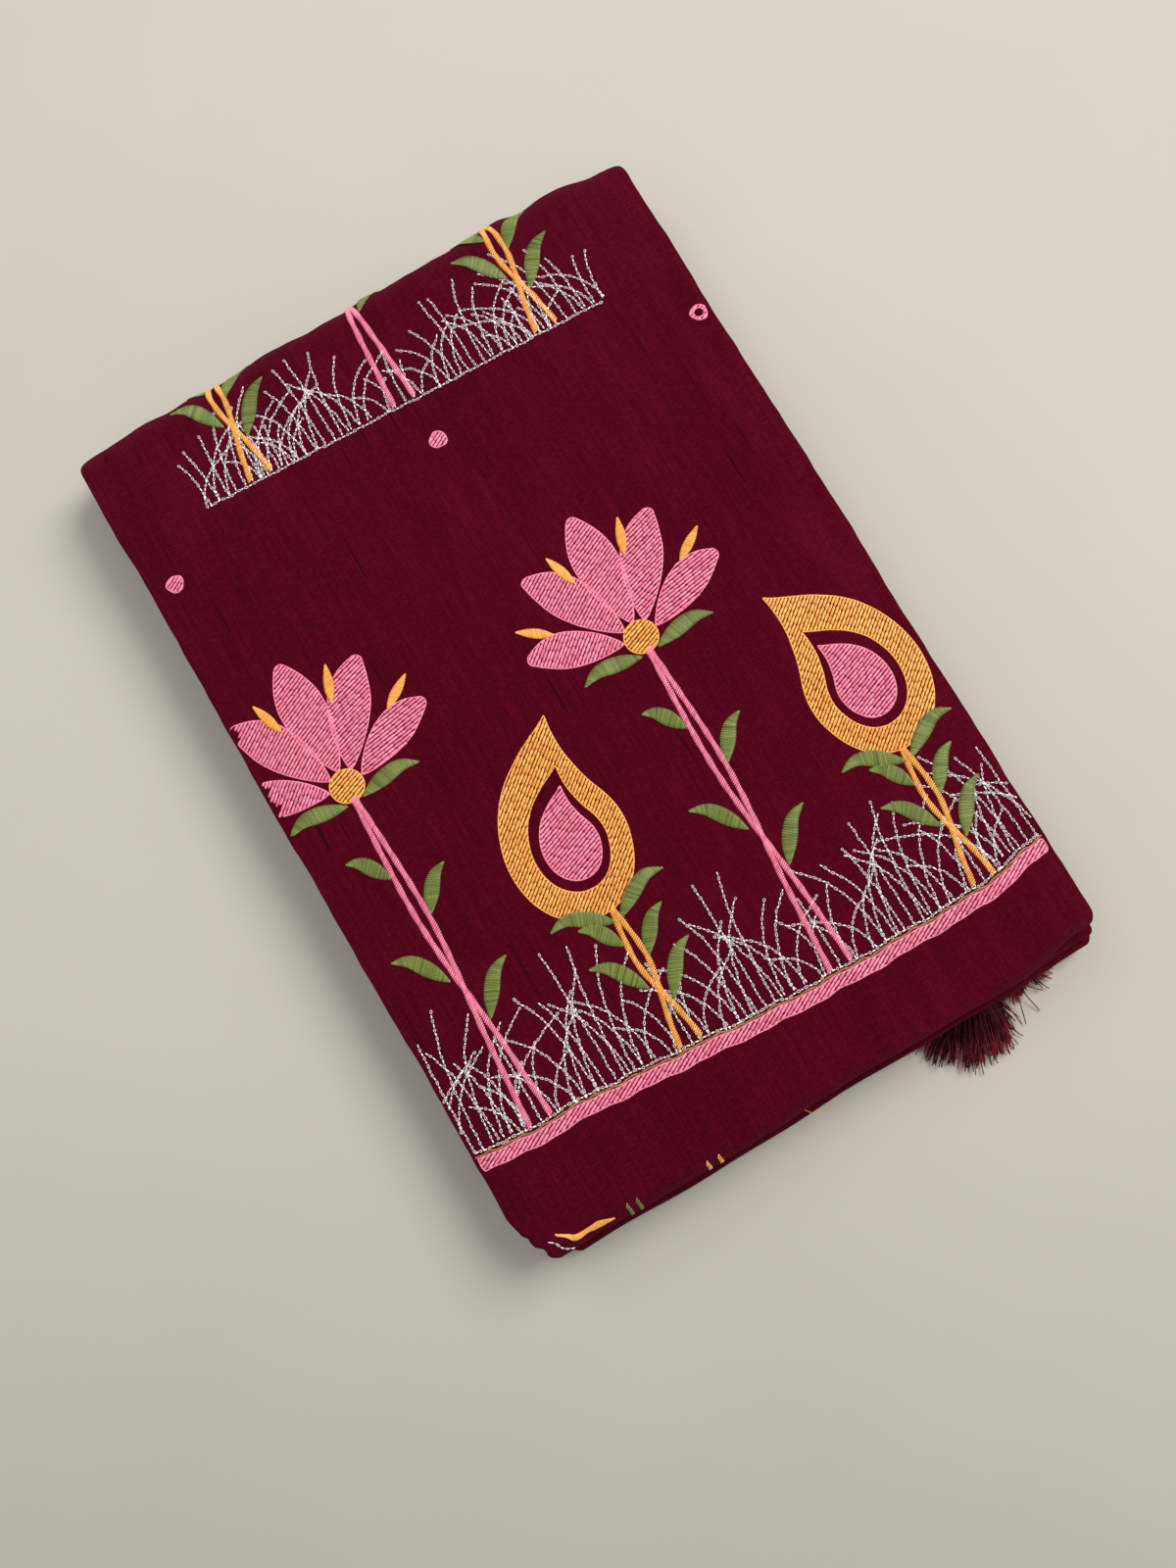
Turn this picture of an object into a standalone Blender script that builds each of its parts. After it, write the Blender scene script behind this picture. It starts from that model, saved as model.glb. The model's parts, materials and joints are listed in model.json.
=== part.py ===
# Kosa silk saree, folded into a flat packet, with two tassels of its pallu showing.
# Metres, +Z up. The packet lies on the floor at z = 0 with its long side along Y, its far fold
# at +Y and its near folds and tassels at -Y. The origin is the middle of the whole part's base.
import math

import bmesh
import bpy
from mathutils import Vector

# Driving sizes of the folded packet
HALF_WIDTH = 0.1378
HEIGHT = 0.0310
FAR_Y = 0.2165
PLIES = 0.0018  # four plies of silk pressed together, the wall of every stretch
GAP = 0.0003
SLOT_GAP = 0.0004

# The far fold is one bend of the whole packet, pressed flatter than a half circle
FAR_SQUASH = 0.75
FAR_RADIUS = HEIGHT / 2
FAR_CENTRE_Y = FAR_Y - FAR_SQUASH * FAR_RADIUS

# The pallu's free end lies underneath, and its hem carries the tassels
HEM_Y = -0.1755

# Folds at the near end, from the top down. nose_y is how far each one reaches, bottom and top are
# the outer faces of its two legs, and tail_y is where its legs end inside the packet. The cuts
# are the sizes of its corners, across the packet and along it: rounded on the right, pushed in
# more evenly on the left.
NEAR_FOLDS = {
    "upper": dict(nose_y=-0.1875, bottom=0.0174, top=0.0310, tail_y=-0.1450,
                  left_cut=(0.0110, 0.026), right_cut=(0.0040, 0.007)),
    "second": dict(nose_y=-0.1895, bottom=0.0105, top=0.0171, tail_y=-0.1450,
                   left_cut=(0.0125, 0.028), right_cut=(0.0030, 0.004)),
    "third": dict(nose_y=-0.1938, bottom=0.0048, top=0.0102, tail_y=-0.1500,
                  left_cut=(0.0170, 0.030), right_cut=(0.0060, 0.006)),
}
THIRD_LOWER_TAIL_Y = -0.1550
FAR_CUT = (0.0050, 0.0055)

# The packet's top falls away towards its long sides, most on the right
RIGHT_SLOPE = dict(start=0.104, drop=0.0032)
LEFT_SLOPE = dict(start=0.114, drop=0.0022)
MIDDLE_SAG = 0.0010
# Near the right-hand corner the far fold lies a little further in
FAR_STEP = dict(start_x=0.106, end_x=0.128, depth=0.0032, reach=0.060)
# Near the other right-hand corner the upper fold draws back from the folds below it
UPPER_BACK = dict(start_x=0.092, end_x=0.134, depth=0.0040, start_y=-0.1425, end_y=-0.1875,
                  above_z=0.01725)
EDGE_WAVE = 0.0005
BEND_STEPS = 12

# Places across the packet where the surfaces have points, between the two edges
COLUMNS = (-0.1305, -0.1175, -0.098, -0.070, -0.035, 0.0, 0.035, 0.070, 0.098, 0.109, 0.116,
           0.1235, 0.1315)

# Hidden layers on each side of the packet's middle, with how far each strip's folded edge lies
# inside or outside the packet's side, from the outside in
STRIP_EDGES = (0.0000, -0.0009, 0.0003, -0.0005, 0.0002, -0.0010, -0.0002)
STRIP_GROOVE = 0.0013

TASSELS = {
    "tassel_left": dict(head_x=0.0823, across=14, direction=-118.0, spread=21.0,
                        length=0.0350, length_change=0.0015),
    "tassel_right": dict(head_x=0.0993, across=12, direction=-72.0, spread=36.0,
                         length=0.0265, length_change=-0.0045),
}
HEAD_HALF_LENGTH = 0.0052
HEAD_HALF_HEIGHT = 0.0019
STRAND_RADIUS = 0.00032
STRAND_PITCH = 0.00078
STRAND_LEVELS = 4
STRAND_RINGS = 4
FLOOR_CLEARANCE = 0.0002


def smooth_step(value, start, end):
    t = min(max((value - start) / (end - start), 0.0), 1.0)
    return t * t * (3 - 2 * t)


def corner_inset(distance_in, cut):
    # How far a rounded corner of size cut = (across, along) draws the side in,
    # at a distance along the side from the packet's end
    t = min(max(1 - distance_in / cut[1], 0.0), 1.0)
    return cut[0] * (1 - math.sqrt(1 - t * t))


def pushed_corner_inset(distance_in, cut):
    # The same for the near left corner, which is pushed in nearly straight
    t = min(max(1 - distance_in / cut[1], 0.0), 1.0)
    return cut[0] * t**1.5


def inset_at(y, side, fold):
    if side > 0:
        near = corner_inset(y - fold["nose_y"], fold["right_cut"])
    else:
        near = pushed_corner_inset(y - fold["nose_y"], fold["left_cut"])
    far = corner_inset(FAR_Y - y, FAR_CUT)
    return near + far


def settle(point):
    # The packet as it lies: the far bend pressed flat, the sides sloping, a slight sag and waves
    x, y, z = point
    if y > FAR_CENTRE_Y:
        y = FAR_CENTRE_Y + (y - FAR_CENTRE_Y) * FAR_SQUASH
    if z > UPPER_BACK["above_z"]:
        back = smooth_step(x, UPPER_BACK["start_x"], UPPER_BACK["end_x"])
        y += UPPER_BACK["depth"] * back * smooth_step(-y, -UPPER_BACK["start_y"], -UPPER_BACK["end_y"])
    right = smooth_step(x, RIGHT_SLOPE["start"], 2 * HALF_WIDTH - RIGHT_SLOPE["start"])
    left = smooth_step(-x, LEFT_SLOPE["start"], 2 * HALF_WIDTH - LEFT_SLOPE["start"])
    sag = math.cos(math.pi * y / 0.42) * math.cos(math.pi * x / 0.32)
    drop = 2 * RIGHT_SLOPE["drop"] * right + 2 * LEFT_SLOPE["drop"] * left + MIDDLE_SAG * max(sag, 0)
    z *= 1 - drop / HEIGHT
    step = smooth_step(x, FAR_STEP["start_x"], FAR_STEP["end_x"])
    y -= FAR_STEP["depth"] * step * smooth_step(y, FAR_Y - FAR_STEP["reach"], FAR_Y)
    near = smooth_step(-y, 0.12, 0.19)
    y += EDGE_WAVE * near * (math.sin(46 * x + 0.6) + 0.5 * math.sin(113 * x))
    x += 0.0006 * math.sin(9 * y + 0.4) * x / HALF_WIDTH
    return Vector((x, y, z))


def line(start, end, steps):
    # Points (y, z) from start up to, but not including, end
    points = []
    for i in range(steps):
        t = i / steps
        points.append((start[0] + t * (end[0] - start[0]), start[1] + t * (end[1] - start[1])))
    return points


def arc(centre, radius, start_deg, end_deg, steps):
    # Points (y, z) on an arc, without the last one. 0 degrees is +Y and 90 degrees is +Z.
    points = []
    for i in range(steps):
        angle = math.radians(start_deg + (end_deg - start_deg) * i / steps)
        points.append((centre[0] + radius * math.cos(angle), centre[1] + radius * math.sin(angle)))
    return points


def nose(name):
    # Centre and outer radius of a near fold's round end
    fold = NEAR_FOLDS[name]
    radius = (fold["top"] - fold["bottom"]) / 2
    return (fold["nose_y"] + radius, (fold["top"] + fold["bottom"]) / 2), radius


def grid_sheet(rows, columns):
    # A rectangular sheet of quads from Blender's grid, with its points in row order
    mesh = bmesh.new()
    bmesh.ops.create_grid(mesh, x_segments=columns - 1, y_segments=rows - 1, size=1.0)
    ordered = sorted(mesh.verts, key=lambda v: (round(v.co.y, 5), round(v.co.x, 5)))
    table = [ordered[r * columns:(r + 1) * columns] for r in range(rows)]
    return mesh, table


def object_from(mesh, name, collection, material=None):
    data = bpy.data.meshes.new(name)
    mesh.to_mesh(data)
    mesh.free()
    made = bpy.data.objects.new(name, data)
    collection.objects.link(made)
    if material:
        data.materials.append(material)
    return made


def bake(made):
    # The evaluated mesh takes the modifiers' place
    graph = bpy.context.evaluated_depsgraph_get()
    data = bpy.data.meshes.new_from_object(made.evaluated_get(graph))
    made.modifiers.clear()
    made.data = data
    return made


def spread_columns(y, fold):
    left = -HALF_WIDTH + inset_at(y, -1, fold)
    right = HALF_WIDTH - inset_at(y, 1, fold)
    scaled = [x * (right if x > 0 else -left) / HALF_WIDTH for x in COLUMNS]
    return [left] + scaled + [right]


def stretch(name, path, fold, collection, material):
    # One stretch of cloth that shows: a sheet along the path, thickened, its edges rounded
    mesh, table = grid_sheet(len(path), len(COLUMNS) + 2)
    for (y, z), row in zip(path, table):
        for vertex, x in zip(row, spread_columns(y, fold)):
            vertex.co = (x, y, z)
    made = object_from(mesh, name, collection, material)
    wall = made.modifiers.new("wall", "SOLIDIFY")
    wall.thickness = PLIES
    wall.offset = 0.0
    wall.use_even_offset = True
    edge = made.modifiers.new("edge", "BEVEL")
    edge.width = 0.0005
    edge.segments = 1
    edge.limit_method = "ANGLE"
    edge.angle_limit = math.radians(55)
    bake(made)
    for vertex in made.data.vertices:
        vertex.co = settle(vertex.co)
    return made


def outer_path():
    # Tucked tail, upper near fold, top, far fold, underside, hem
    fold = NEAR_FOLDS["upper"]
    centre, radius = nose("upper")
    middle = radius - PLIES / 2
    top, bottom = HEIGHT - PLIES / 2, PLIES / 2
    tail_z = fold["bottom"] + PLIES / 2
    far = (FAR_CENTRE_Y, HEIGHT / 2)
    points = line((fold["tail_y"], tail_z), (centre[0], tail_z), 2)
    points += arc(centre, middle, 270, 90, 8)
    points += line((centre[0], top), far[:1] + (top,), 13)
    points += arc(far, FAR_RADIUS - PLIES / 2, 90, -90, BEND_STEPS)
    points += line((far[0], bottom), (HEM_Y, bottom), 8)
    return points + [(HEM_Y, bottom)]


def fold_path(name, upper_tail_y, lower_tail_y):
    # A near fold with its two legs tucked into the packet
    centre, radius = nose(name)
    middle = radius - PLIES / 2
    upper, lower = centre[1] + middle, centre[1] - middle
    points = line((lower_tail_y, lower), (centre[0], lower), 3)
    points += arc(centre, middle, 270, 90, 6)
    points += line((centre[0], upper), (upper_tail_y, upper), 3)
    return points + [(upper_tail_y, upper)]


def layer_points():
    # How deep each row of the folded edges lies, and how far it stands in from the side
    pitch = (HEIGHT / 2 - PLIES - GAP) / len(STRIP_EDGES)
    rows = []
    for index, edge in enumerate(STRIP_EDGES):
        rows.append((index * pitch, -STRIP_GROOVE))
        rows.append(((index + 0.5) * pitch, edge))
    rows.append((len(STRIP_EDGES) * pitch, -STRIP_GROOVE))
    return rows


def core_place(spot, depth):
    # A point of the hidden layers' side, nested one bend inside the other.
    # spot runs from the near end along the top, round the far fold and back below.
    kind, value = spot
    radius = FAR_RADIUS - PLIES - GAP - depth
    if kind == "bend":
        angle = math.radians(value)
        return FAR_CENTRE_Y + radius * math.cos(angle), HEIGHT / 2 + radius * math.sin(angle)
    sign = 1 if kind == "top" else -1
    return value, HEIGHT / 2 + sign * radius


def hidden_layers(collection, cutters, material):
    fold = dict(NEAR_FOLDS["upper"], nose_y=-0.1925, right_cut=(0.007, 0.012))
    near_y = -0.2000
    along = [near_y, -0.19, -0.178, -0.165, -0.148, -0.11, -0.05, 0.02, 0.09, 0.15]
    spots = [("top", y) for y in along]
    spots += [("bend", 90 - 180 * i / BEND_STEPS) for i in range(BEND_STEPS + 1)]
    spots += [("bottom", y) for y in reversed(along)]
    depths = layer_points()

    def across(spot, edge):
        # The same columns as the outer stretch has round the far fold, whatever the depth
        y = core_place(spot, -PLIES / 2 - GAP)[0]
        scale = (HALF_WIDTH + edge) / HALF_WIDTH
        return [x * scale for x in spread_columns(y, fold)]

    whole = bmesh.new()

    def add(rows, columns, place):
        mesh, table = grid_sheet(rows, columns)
        for r, row in enumerate(table):
            for c, vertex in enumerate(row):
                vertex.co = place(r, c)
        data = bpy.data.meshes.new("piece")
        mesh.to_mesh(data)
        mesh.free()
        whole.from_mesh(data)
        bpy.data.meshes.remove(data)

    def outer(r, c):
        y, z = core_place(spots[r], 0)
        return across(spots[r], depths[0][1])[c], y, z

    def side(sign):
        def place(r, c):
            y, z = core_place(spots[r], depths[c][0])
            return across(spots[r], depths[c][1])[-1 if sign > 0 else 0], y, z
        return place

    def near_end(r, c):
        half = len(depths) - 1
        depth, edge = depths[half - abs(half - r)]
        spot = ("top" if r <= half else "bottom", near_y)
        y, z = core_place(spot, depth)
        return across(spot, edge)[c], y, z

    width = len(COLUMNS) + 2
    add(len(spots), width, outer)
    add(len(spots), len(depths), side(1))
    add(len(spots), len(depths), side(-1))
    add(2 * len(depths) - 1, width, near_end)
    bmesh.ops.remove_doubles(whole, verts=whole.verts, dist=0.00001)
    bmesh.ops.recalc_face_normals(whole, faces=whole.faces)
    core = object_from(whole, "hidden_layers", collection, material)
    for vertex in core.data.vertices:
        vertex.co = settle(vertex.co)

    cut = core.modifiers.new("near folds", "BOOLEAN")
    cut.operation = "DIFFERENCE"
    cut.solver = "EXACT"
    cut.object = near_comb(cutters)
    return core


def near_comb(cutters):
    # What the near folds and their legs take out of the hidden layers' near end
    outside = -0.2300
    points = [(outside, 0.0450), (nose("upper")[0][0], 0.0450)]
    slots = (("upper", NEAR_FOLDS["upper"]["tail_y"]), ("second", NEAR_FOLDS["third"]["tail_y"]),
             ("third", THIRD_LOWER_TAIL_Y))
    for name, tail_y in slots:
        centre, radius = nose(name)
        inner = radius - PLIES - SLOT_GAP
        bottom = centre[1] - inner
        points += arc(centre, inner, 90, 270, 6)
        points += line((centre[0], bottom), (tail_y + SLOT_GAP, bottom), 3)
        points.append((tail_y + SLOT_GAP, bottom))
        points += next_slot_floor(name, tail_y + SLOT_GAP)
    points += [(HEM_Y, -0.0100), (outside, -0.0100)]

    across = [-0.1600, -0.1460] + list(COLUMNS) + [0.1460, 0.1600]
    mesh, table = grid_sheet(len(points) + 1, len(across))
    for (y, z), row in zip(points + points[:1], table):
        for vertex, x in zip(row, across):
            vertex.co = (x, y, z)
    bmesh.ops.remove_doubles(mesh, verts=mesh.verts, dist=0.00001)
    rims = [edge for edge in mesh.edges if edge.is_boundary]
    bmesh.ops.holes_fill(mesh, edges=rims, sides=0)
    bmesh.ops.triangulate(mesh, faces=[face for face in mesh.faces if len(face.verts) > 4])
    bmesh.ops.recalc_face_normals(mesh, faces=mesh.faces)
    comb = object_from(mesh, "near_comb", cutters)
    for vertex in comb.data.vertices:
        vertex.co = settle(vertex.co)
    comb.hide_render = True
    comb.display_type = "WIRE"
    return comb


def next_slot_floor(name, inside_y):
    # From a slot's inner end down to the next tongue, and out along its top
    below = {"upper": "second", "second": "third"}.get(name)
    if below is None:
        floor = NEAR_FOLDS["third"]["bottom"] - SLOT_GAP
        return line((inside_y, floor), (HEM_Y, floor), 2) + [(HEM_Y, floor)]
    centre, radius = nose(below)
    floor = centre[1] + radius - PLIES - SLOT_GAP
    return line((inside_y, floor), (centre[0], floor), 3)


def head_middle_y(tassel):
    # The head's middle along Y: it lies against the waved hem
    half = tassel["across"] * STRAND_PITCH / 2
    hem = [settle((tassel["head_x"] + side * half, HEM_Y, 0)).y for side in (-1, -0.5, 0, 0.5, 1)]
    return min(hem) - GAP - HEAD_HALF_LENGTH


def strand_points(tassel, column, level):
    # A strand's centre line. Strands fan out from the head and keep their height order, so that
    # no two of them cross.
    half = (tassel["across"] - 1) / 2
    offset = (column - half) / half
    height = FLOOR_CLEARANCE + STRAND_RADIUS + level * STRAND_PITCH
    angle = math.radians(tassel["direction"] + tassel["spread"] * offset)
    lean = math.radians(tassel["direction"])
    length = tassel["length"] + tassel["length_change"] * offset
    length *= 1 - 0.10 * math.sin(2.7 * column + 1.9 * level) ** 2 - 0.04 * level
    root = Vector((tassel["head_x"] + (column - half) * STRAND_PITCH, head_middle_y(tassel)))
    points = []
    for ring in range(STRAND_RINGS):
        t = ring / (STRAND_RINGS - 1)
        turn = lean + (angle - lean) * (0.55 + 0.45 * t)
        turn = -math.pi / 2 + (turn + math.pi / 2) * min(1.0, 0.25 + t)
        spot = root + Vector((math.cos(turn), math.sin(turn))) * length * t
        points.append(Vector((spot.x, spot.y, height)))
    return points


def add_strand(mesh, points):
    # A thin three-sided rod along the points
    rings = []
    for index, point in enumerate(points):
        ahead = points[min(index + 1, len(points) - 1)] - points[max(index - 1, 0)]
        sideways = Vector((-ahead.y, ahead.x, 0)).normalized()
        ring = []
        for corner in range(3):
            angle = math.radians(90 + 120 * corner)
            shift = sideways * math.cos(angle) + Vector((0, 0, math.sin(angle)))
            ring.append(mesh.verts.new(point + shift * STRAND_RADIUS))
        rings.append(ring)
    for before, after in zip(rings, rings[1:]):
        for corner in range(3):
            other = (corner + 1) % 3
            mesh.faces.new((before[corner], before[other], after[other], after[corner]))
    mesh.faces.new(rings[0][::-1])
    mesh.faces.new(rings[-1])


def tassel_piece(name, collection, cutters, material):
    # A wrapped head pressed flat under the packet, with its strands fused into its front
    tassel = TASSELS[name]
    mesh = bmesh.new()
    bmesh.ops.create_uvsphere(mesh, u_segments=16, v_segments=8, radius=1.0)
    half_across = tassel["across"] * STRAND_PITCH / 2 + 0.0004
    size = Vector((half_across, HEAD_HALF_LENGTH, HEAD_HALF_HEIGHT))
    centre = Vector((tassel["head_x"], head_middle_y(tassel),
                     FLOOR_CLEARANCE / 2 + HEAD_HALF_HEIGHT))
    for vertex in mesh.verts:
        squared = [math.copysign(abs(part) ** 0.55, part) for part in vertex.co]
        vertex.co = centre + Vector([s * part for s, part in zip(size, squared)])
    head = object_from(mesh, name, collection, material)

    strands = bmesh.new()
    for column in range(tassel["across"]):
        for level in range(STRAND_LEVELS):
            add_strand(strands, strand_points(tassel, column, level))
    bmesh.ops.recalc_face_normals(strands, faces=strands.faces)
    guide = object_from(strands, name + "_strands", cutters)
    guide.hide_render = True
    guide.display_type = "WIRE"

    join = head.modifiers.new("strands", "BOOLEAN")
    join.operation = "UNION"
    join.solver = "EXACT"
    join.object = guide
    return head


def cloth_material(name, colour, roughness):
    material = bpy.data.materials.new(name)
    material.use_nodes = True
    shader = material.node_tree.nodes["Principled BSDF"]
    shader.inputs["Base Color"].default_value = colour + (1.0,)
    shader.inputs["Roughness"].default_value = roughness
    shader.inputs["Metallic"].default_value = 0.0
    material.diffuse_color = colour + (1.0,)
    return material


def main():
    for old in list(bpy.data.objects):
        bpy.data.objects.remove(old, do_unlink=True)
    saree = bpy.data.collections.new("kosa_silk_saree")
    cutters = bpy.data.collections.new("cutters")
    bpy.context.scene.collection.children.link(saree)
    bpy.context.scene.collection.children.link(cutters)

    silk = cloth_material("maroon_silk", (0.100, 0.003, 0.012), 0.45)
    inner = cloth_material("inner_silk", (0.085, 0.003, 0.010), 0.55)
    thread = cloth_material("tassel_thread", (0.030, 0.003, 0.005), 0.60)

    stretch("outer_stretch", outer_path(), NEAR_FOLDS["upper"], saree, silk)
    stretch("second_stretch",
            fold_path("second", NEAR_FOLDS["second"]["tail_y"], NEAR_FOLDS["third"]["tail_y"]),
            NEAR_FOLDS["second"], saree, silk)
    stretch("third_stretch",
            fold_path("third", NEAR_FOLDS["third"]["tail_y"], THIRD_LOWER_TAIL_Y),
            NEAR_FOLDS["third"], saree, silk)
    hidden_layers(saree, cutters, inner)
    for name in TASSELS:
        tassel_piece(name, saree, cutters, thread)


main()
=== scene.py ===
import json
import math

import bmesh
import bpy
import numpy as np
from mathutils import Matrix, Vector

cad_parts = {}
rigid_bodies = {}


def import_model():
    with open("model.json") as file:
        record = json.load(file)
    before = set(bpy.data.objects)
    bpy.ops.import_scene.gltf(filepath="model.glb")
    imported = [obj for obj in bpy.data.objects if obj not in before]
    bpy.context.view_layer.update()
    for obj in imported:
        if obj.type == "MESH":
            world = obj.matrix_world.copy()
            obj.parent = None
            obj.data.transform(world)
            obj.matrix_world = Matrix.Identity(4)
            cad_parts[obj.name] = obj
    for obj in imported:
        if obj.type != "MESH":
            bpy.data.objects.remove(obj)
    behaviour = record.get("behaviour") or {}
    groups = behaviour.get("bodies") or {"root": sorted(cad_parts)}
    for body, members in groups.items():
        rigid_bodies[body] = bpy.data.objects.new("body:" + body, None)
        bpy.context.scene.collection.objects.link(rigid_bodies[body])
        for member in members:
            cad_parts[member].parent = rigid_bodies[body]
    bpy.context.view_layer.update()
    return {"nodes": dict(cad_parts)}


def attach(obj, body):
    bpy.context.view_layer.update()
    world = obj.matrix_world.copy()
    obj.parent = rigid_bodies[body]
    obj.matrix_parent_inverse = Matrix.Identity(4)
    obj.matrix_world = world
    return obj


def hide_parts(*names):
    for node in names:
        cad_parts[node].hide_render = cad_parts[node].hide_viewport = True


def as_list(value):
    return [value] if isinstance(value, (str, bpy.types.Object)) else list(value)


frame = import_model()
print("frame loaded", sorted(frame["nodes"]))

# The folded packet, in metres. Y runs from the near folds to the far fold, X across, Z up.
packet = {
    "halfWidth": 0.1378,
    "height": 0.0310,
    "farY": 0.2165,
    "farSquash": 0.75,     # the far bend is pressed flatter than a half circle
    "plies": 0.0018,       # four plies of silk lying together
    "gap": 0.0003,
    "hemY": -0.1755,
    "drawnFrom": 0.108,    # outside this the cloth is drawn in towards its corners
    "farCut": (0.0050, 0.0055),
    "tucks": (0.0068, 0.0009),   # of the near left corner: how far apart, how deep
    "slopes": ((1, 0.104, 0.0032), (-1, 0.114, 0.0022)),   # side, where the top starts to fall, how far
    "sag": (0.0010, 0.32, 0.42),   # how deep, and the width and length of its wave
    "upperBack": (0.092, 0.134, 0.0040, 0.1425, 0.1875),   # the upper near fold draws back on the right
    "backAbove": 0.01725,
    "farStep": (0.106, 0.128, 0.0032, 0.060),   # the far edge steps back: from x to x, how far, reach
    "edgeWave": 0.0005,
    "sideWave": 0.0006,
}
farRadius = packet["height"] / 2
farCentreY = packet["farY"] - packet["farSquash"] * farRadius

nearFolds = {
    "upper": {"noseY": -0.1875, "bottom": 0.0174, "top": 0.0310, "tailY": -0.1450,
              "leftCut": (0.0110, 0.026), "rightCut": (0.0040, 0.007), "tuckAt": -0.1770,
              "backAbove": 0.010},
    "second": {"noseY": -0.1895, "bottom": 0.0105, "top": 0.0171, "tailY": -0.1450,
               "leftCut": (0.0125, 0.028), "rightCut": (0.0030, 0.004), "tuckAt": -0.1783,
               "backAbove": 1.0},
    "third": {"noseY": -0.1938, "bottom": 0.0048, "top": 0.0102, "tailY": -0.1500,
              "leftCut": (0.0170, 0.030), "rightCut": (0.0060, 0.006), "tuckAt": -0.1764,
              "backAbove": 1.0},
}
thirdLowerTailY = -0.1550


def smoothStep(value, start, end):
    t = np.clip((np.asarray(value, float) - start) / (end - start), 0.0, 1.0)
    return t * t * (3 - 2 * t)


def waves(seed, shortest, longest, count=7):
    # A smooth wandering line between about -1 and 1, the same on each run
    dice = np.random.default_rng(seed)
    lengths = np.geomspace(shortest, longest, count)
    phases = dice.uniform(0, 2 * math.pi, count)
    strengths = (lengths / longest) ** 0.5
    strengths = strengths / np.sqrt((strengths ** 2).sum() / 2) * 0.6

    def line(v):
        v = np.asarray(v, float)[..., None]
        return (strengths * np.sin(2 * math.pi * v / lengths + phases)).sum(-1)
    return line


def cornerInset(distanceIn, cut):
    t = np.clip(1 - distanceIn / cut[1], 0.0, 1.0)
    return cut[0] * (1 - np.sqrt(1 - t * t))


def tuckedCorner(y, fold):
    # The near left corner is pushed in, and its edge has small tucks
    across, along = fold["leftCut"]
    spacing, depth = packet["tucks"]
    t = np.clip(1 - (y - fold["noseY"]) / along, 0.0, 1.0)
    tucks = np.cos(2 * math.pi * (y - fold["tuckAt"]) / spacing)
    return across * t ** 1.5 - depth * tucks * smoothStep(-y, 0.168, 0.176)


def sideInset(y, side, fold):
    near = np.where(side > 0, cornerInset(y - fold["noseY"], fold["rightCut"]), tuckedCorner(y, fold))
    return near + cornerInset(packet["farY"] - y, packet["farCut"])


def settle(x, y, z, backAbove=packet["backAbove"]):
    # The packet as it lies: far bend pressed flat, sides sloping, a slight sag, waved near folds
    y = np.where(y > farCentreY, farCentreY + (y - farCentreY) * packet["farSquash"], y)
    x0, x1, depth, start, end = packet["upperBack"]
    y = y + np.where(z > backAbove, depth * smoothStep(x, x0, x1) * smoothStep(-y, start, end), 0.0)
    depth, wide, far = packet["sag"]
    drop = depth * np.maximum(np.cos(math.pi * y / far) * np.cos(math.pi * x / wide), 0)
    for side, start, fall in packet["slopes"]:
        drop = drop + 2 * fall * smoothStep(side * x, start, 2 * packet["halfWidth"] - start)
    z = z * (1 - drop / packet["height"])
    x0, x1, depth, reach = packet["farStep"]
    y = y - depth * smoothStep(x, x0, x1) * smoothStep(y, packet["farY"] - reach, packet["farY"])
    near = smoothStep(-y, 0.12, 0.19)
    y = y + packet["edgeWave"] * near * (np.sin(46 * x + 0.6) + 0.5 * np.sin(113 * x))
    x = x + packet["sideWave"] * np.sin(9 * y + 0.4) * x / packet["halfWidth"]
    return x, y, z


def straight(start, end, step=0.0004):
    count = max(2, int(math.dist(start, end) / step))
    return [(start[0] + (end[0] - start[0]) * i / count, start[1] + (end[1] - start[1]) * i / count)
            for i in range(count)]


def arc(centre, radius, startDeg, endDeg, count=60):
    angles = np.radians(np.linspace(startDeg, endDeg, count, endpoint=False))
    return [(centre[0] + radius * math.cos(a), centre[1] + radius * math.sin(a)) for a in angles]


def foldNose(name):
    fold = nearFolds[name]
    radius = (fold["top"] - fold["bottom"]) / 2
    return (fold["noseY"] + radius, (fold["top"] + fold["bottom"]) / 2), radius


def clothLine(points, zeroAt):
    # The middle line of a folded stretch, seen from its side. v is the length along it, and
    # v equals y on the top face, where the line first passes zeroAt.
    points = np.array(points)
    steps = np.hypot(*np.diff(points, axis=0).T)
    v = np.concatenate([[0], np.cumsum(steps)])
    slope = np.gradient(points, v, axis=0)
    slope /= np.linalg.norm(slope, axis=1)[:, None]
    start = v[np.argmin(np.hypot(points[:, 0] - zeroAt[0], points[:, 1] - zeroAt[1]))]
    return {"v": v - start + zeroAt[0], "y": points[:, 0], "z": points[:, 1],
            "ny": -slope[:, 1], "nz": slope[:, 0]}


def noseLine(name, lowerTailY):
    # A fold's lower layer and the bend of its nose, and where the upper layer starts
    (y, z), radius = foldNose(name)
    middle = radius - packet["plies"] / 2
    low = z - middle
    return straight((lowerTailY, low), (y, low)) + arc((y, z), middle, 270, 90), (y, z + middle)


def outerLine():
    points, top = noseLine("upper", nearFolds["upper"]["tailY"])
    low = packet["plies"] / 2
    points += straight(top, (farCentreY, top[1]))
    points += arc((farCentreY, farRadius), farRadius - low, 90, -90, 90)
    points += straight((farCentreY, low), (packet["hemY"], low)) + [(packet["hemY"], low)]
    return clothLine(points, top)


def nearLine(name, upperTailY, lowerTailY):
    points, top = noseLine(name, lowerTailY)
    end = (upperTailY, top[1])
    return clothLine(points + straight(top, end) + [end], top)


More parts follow.
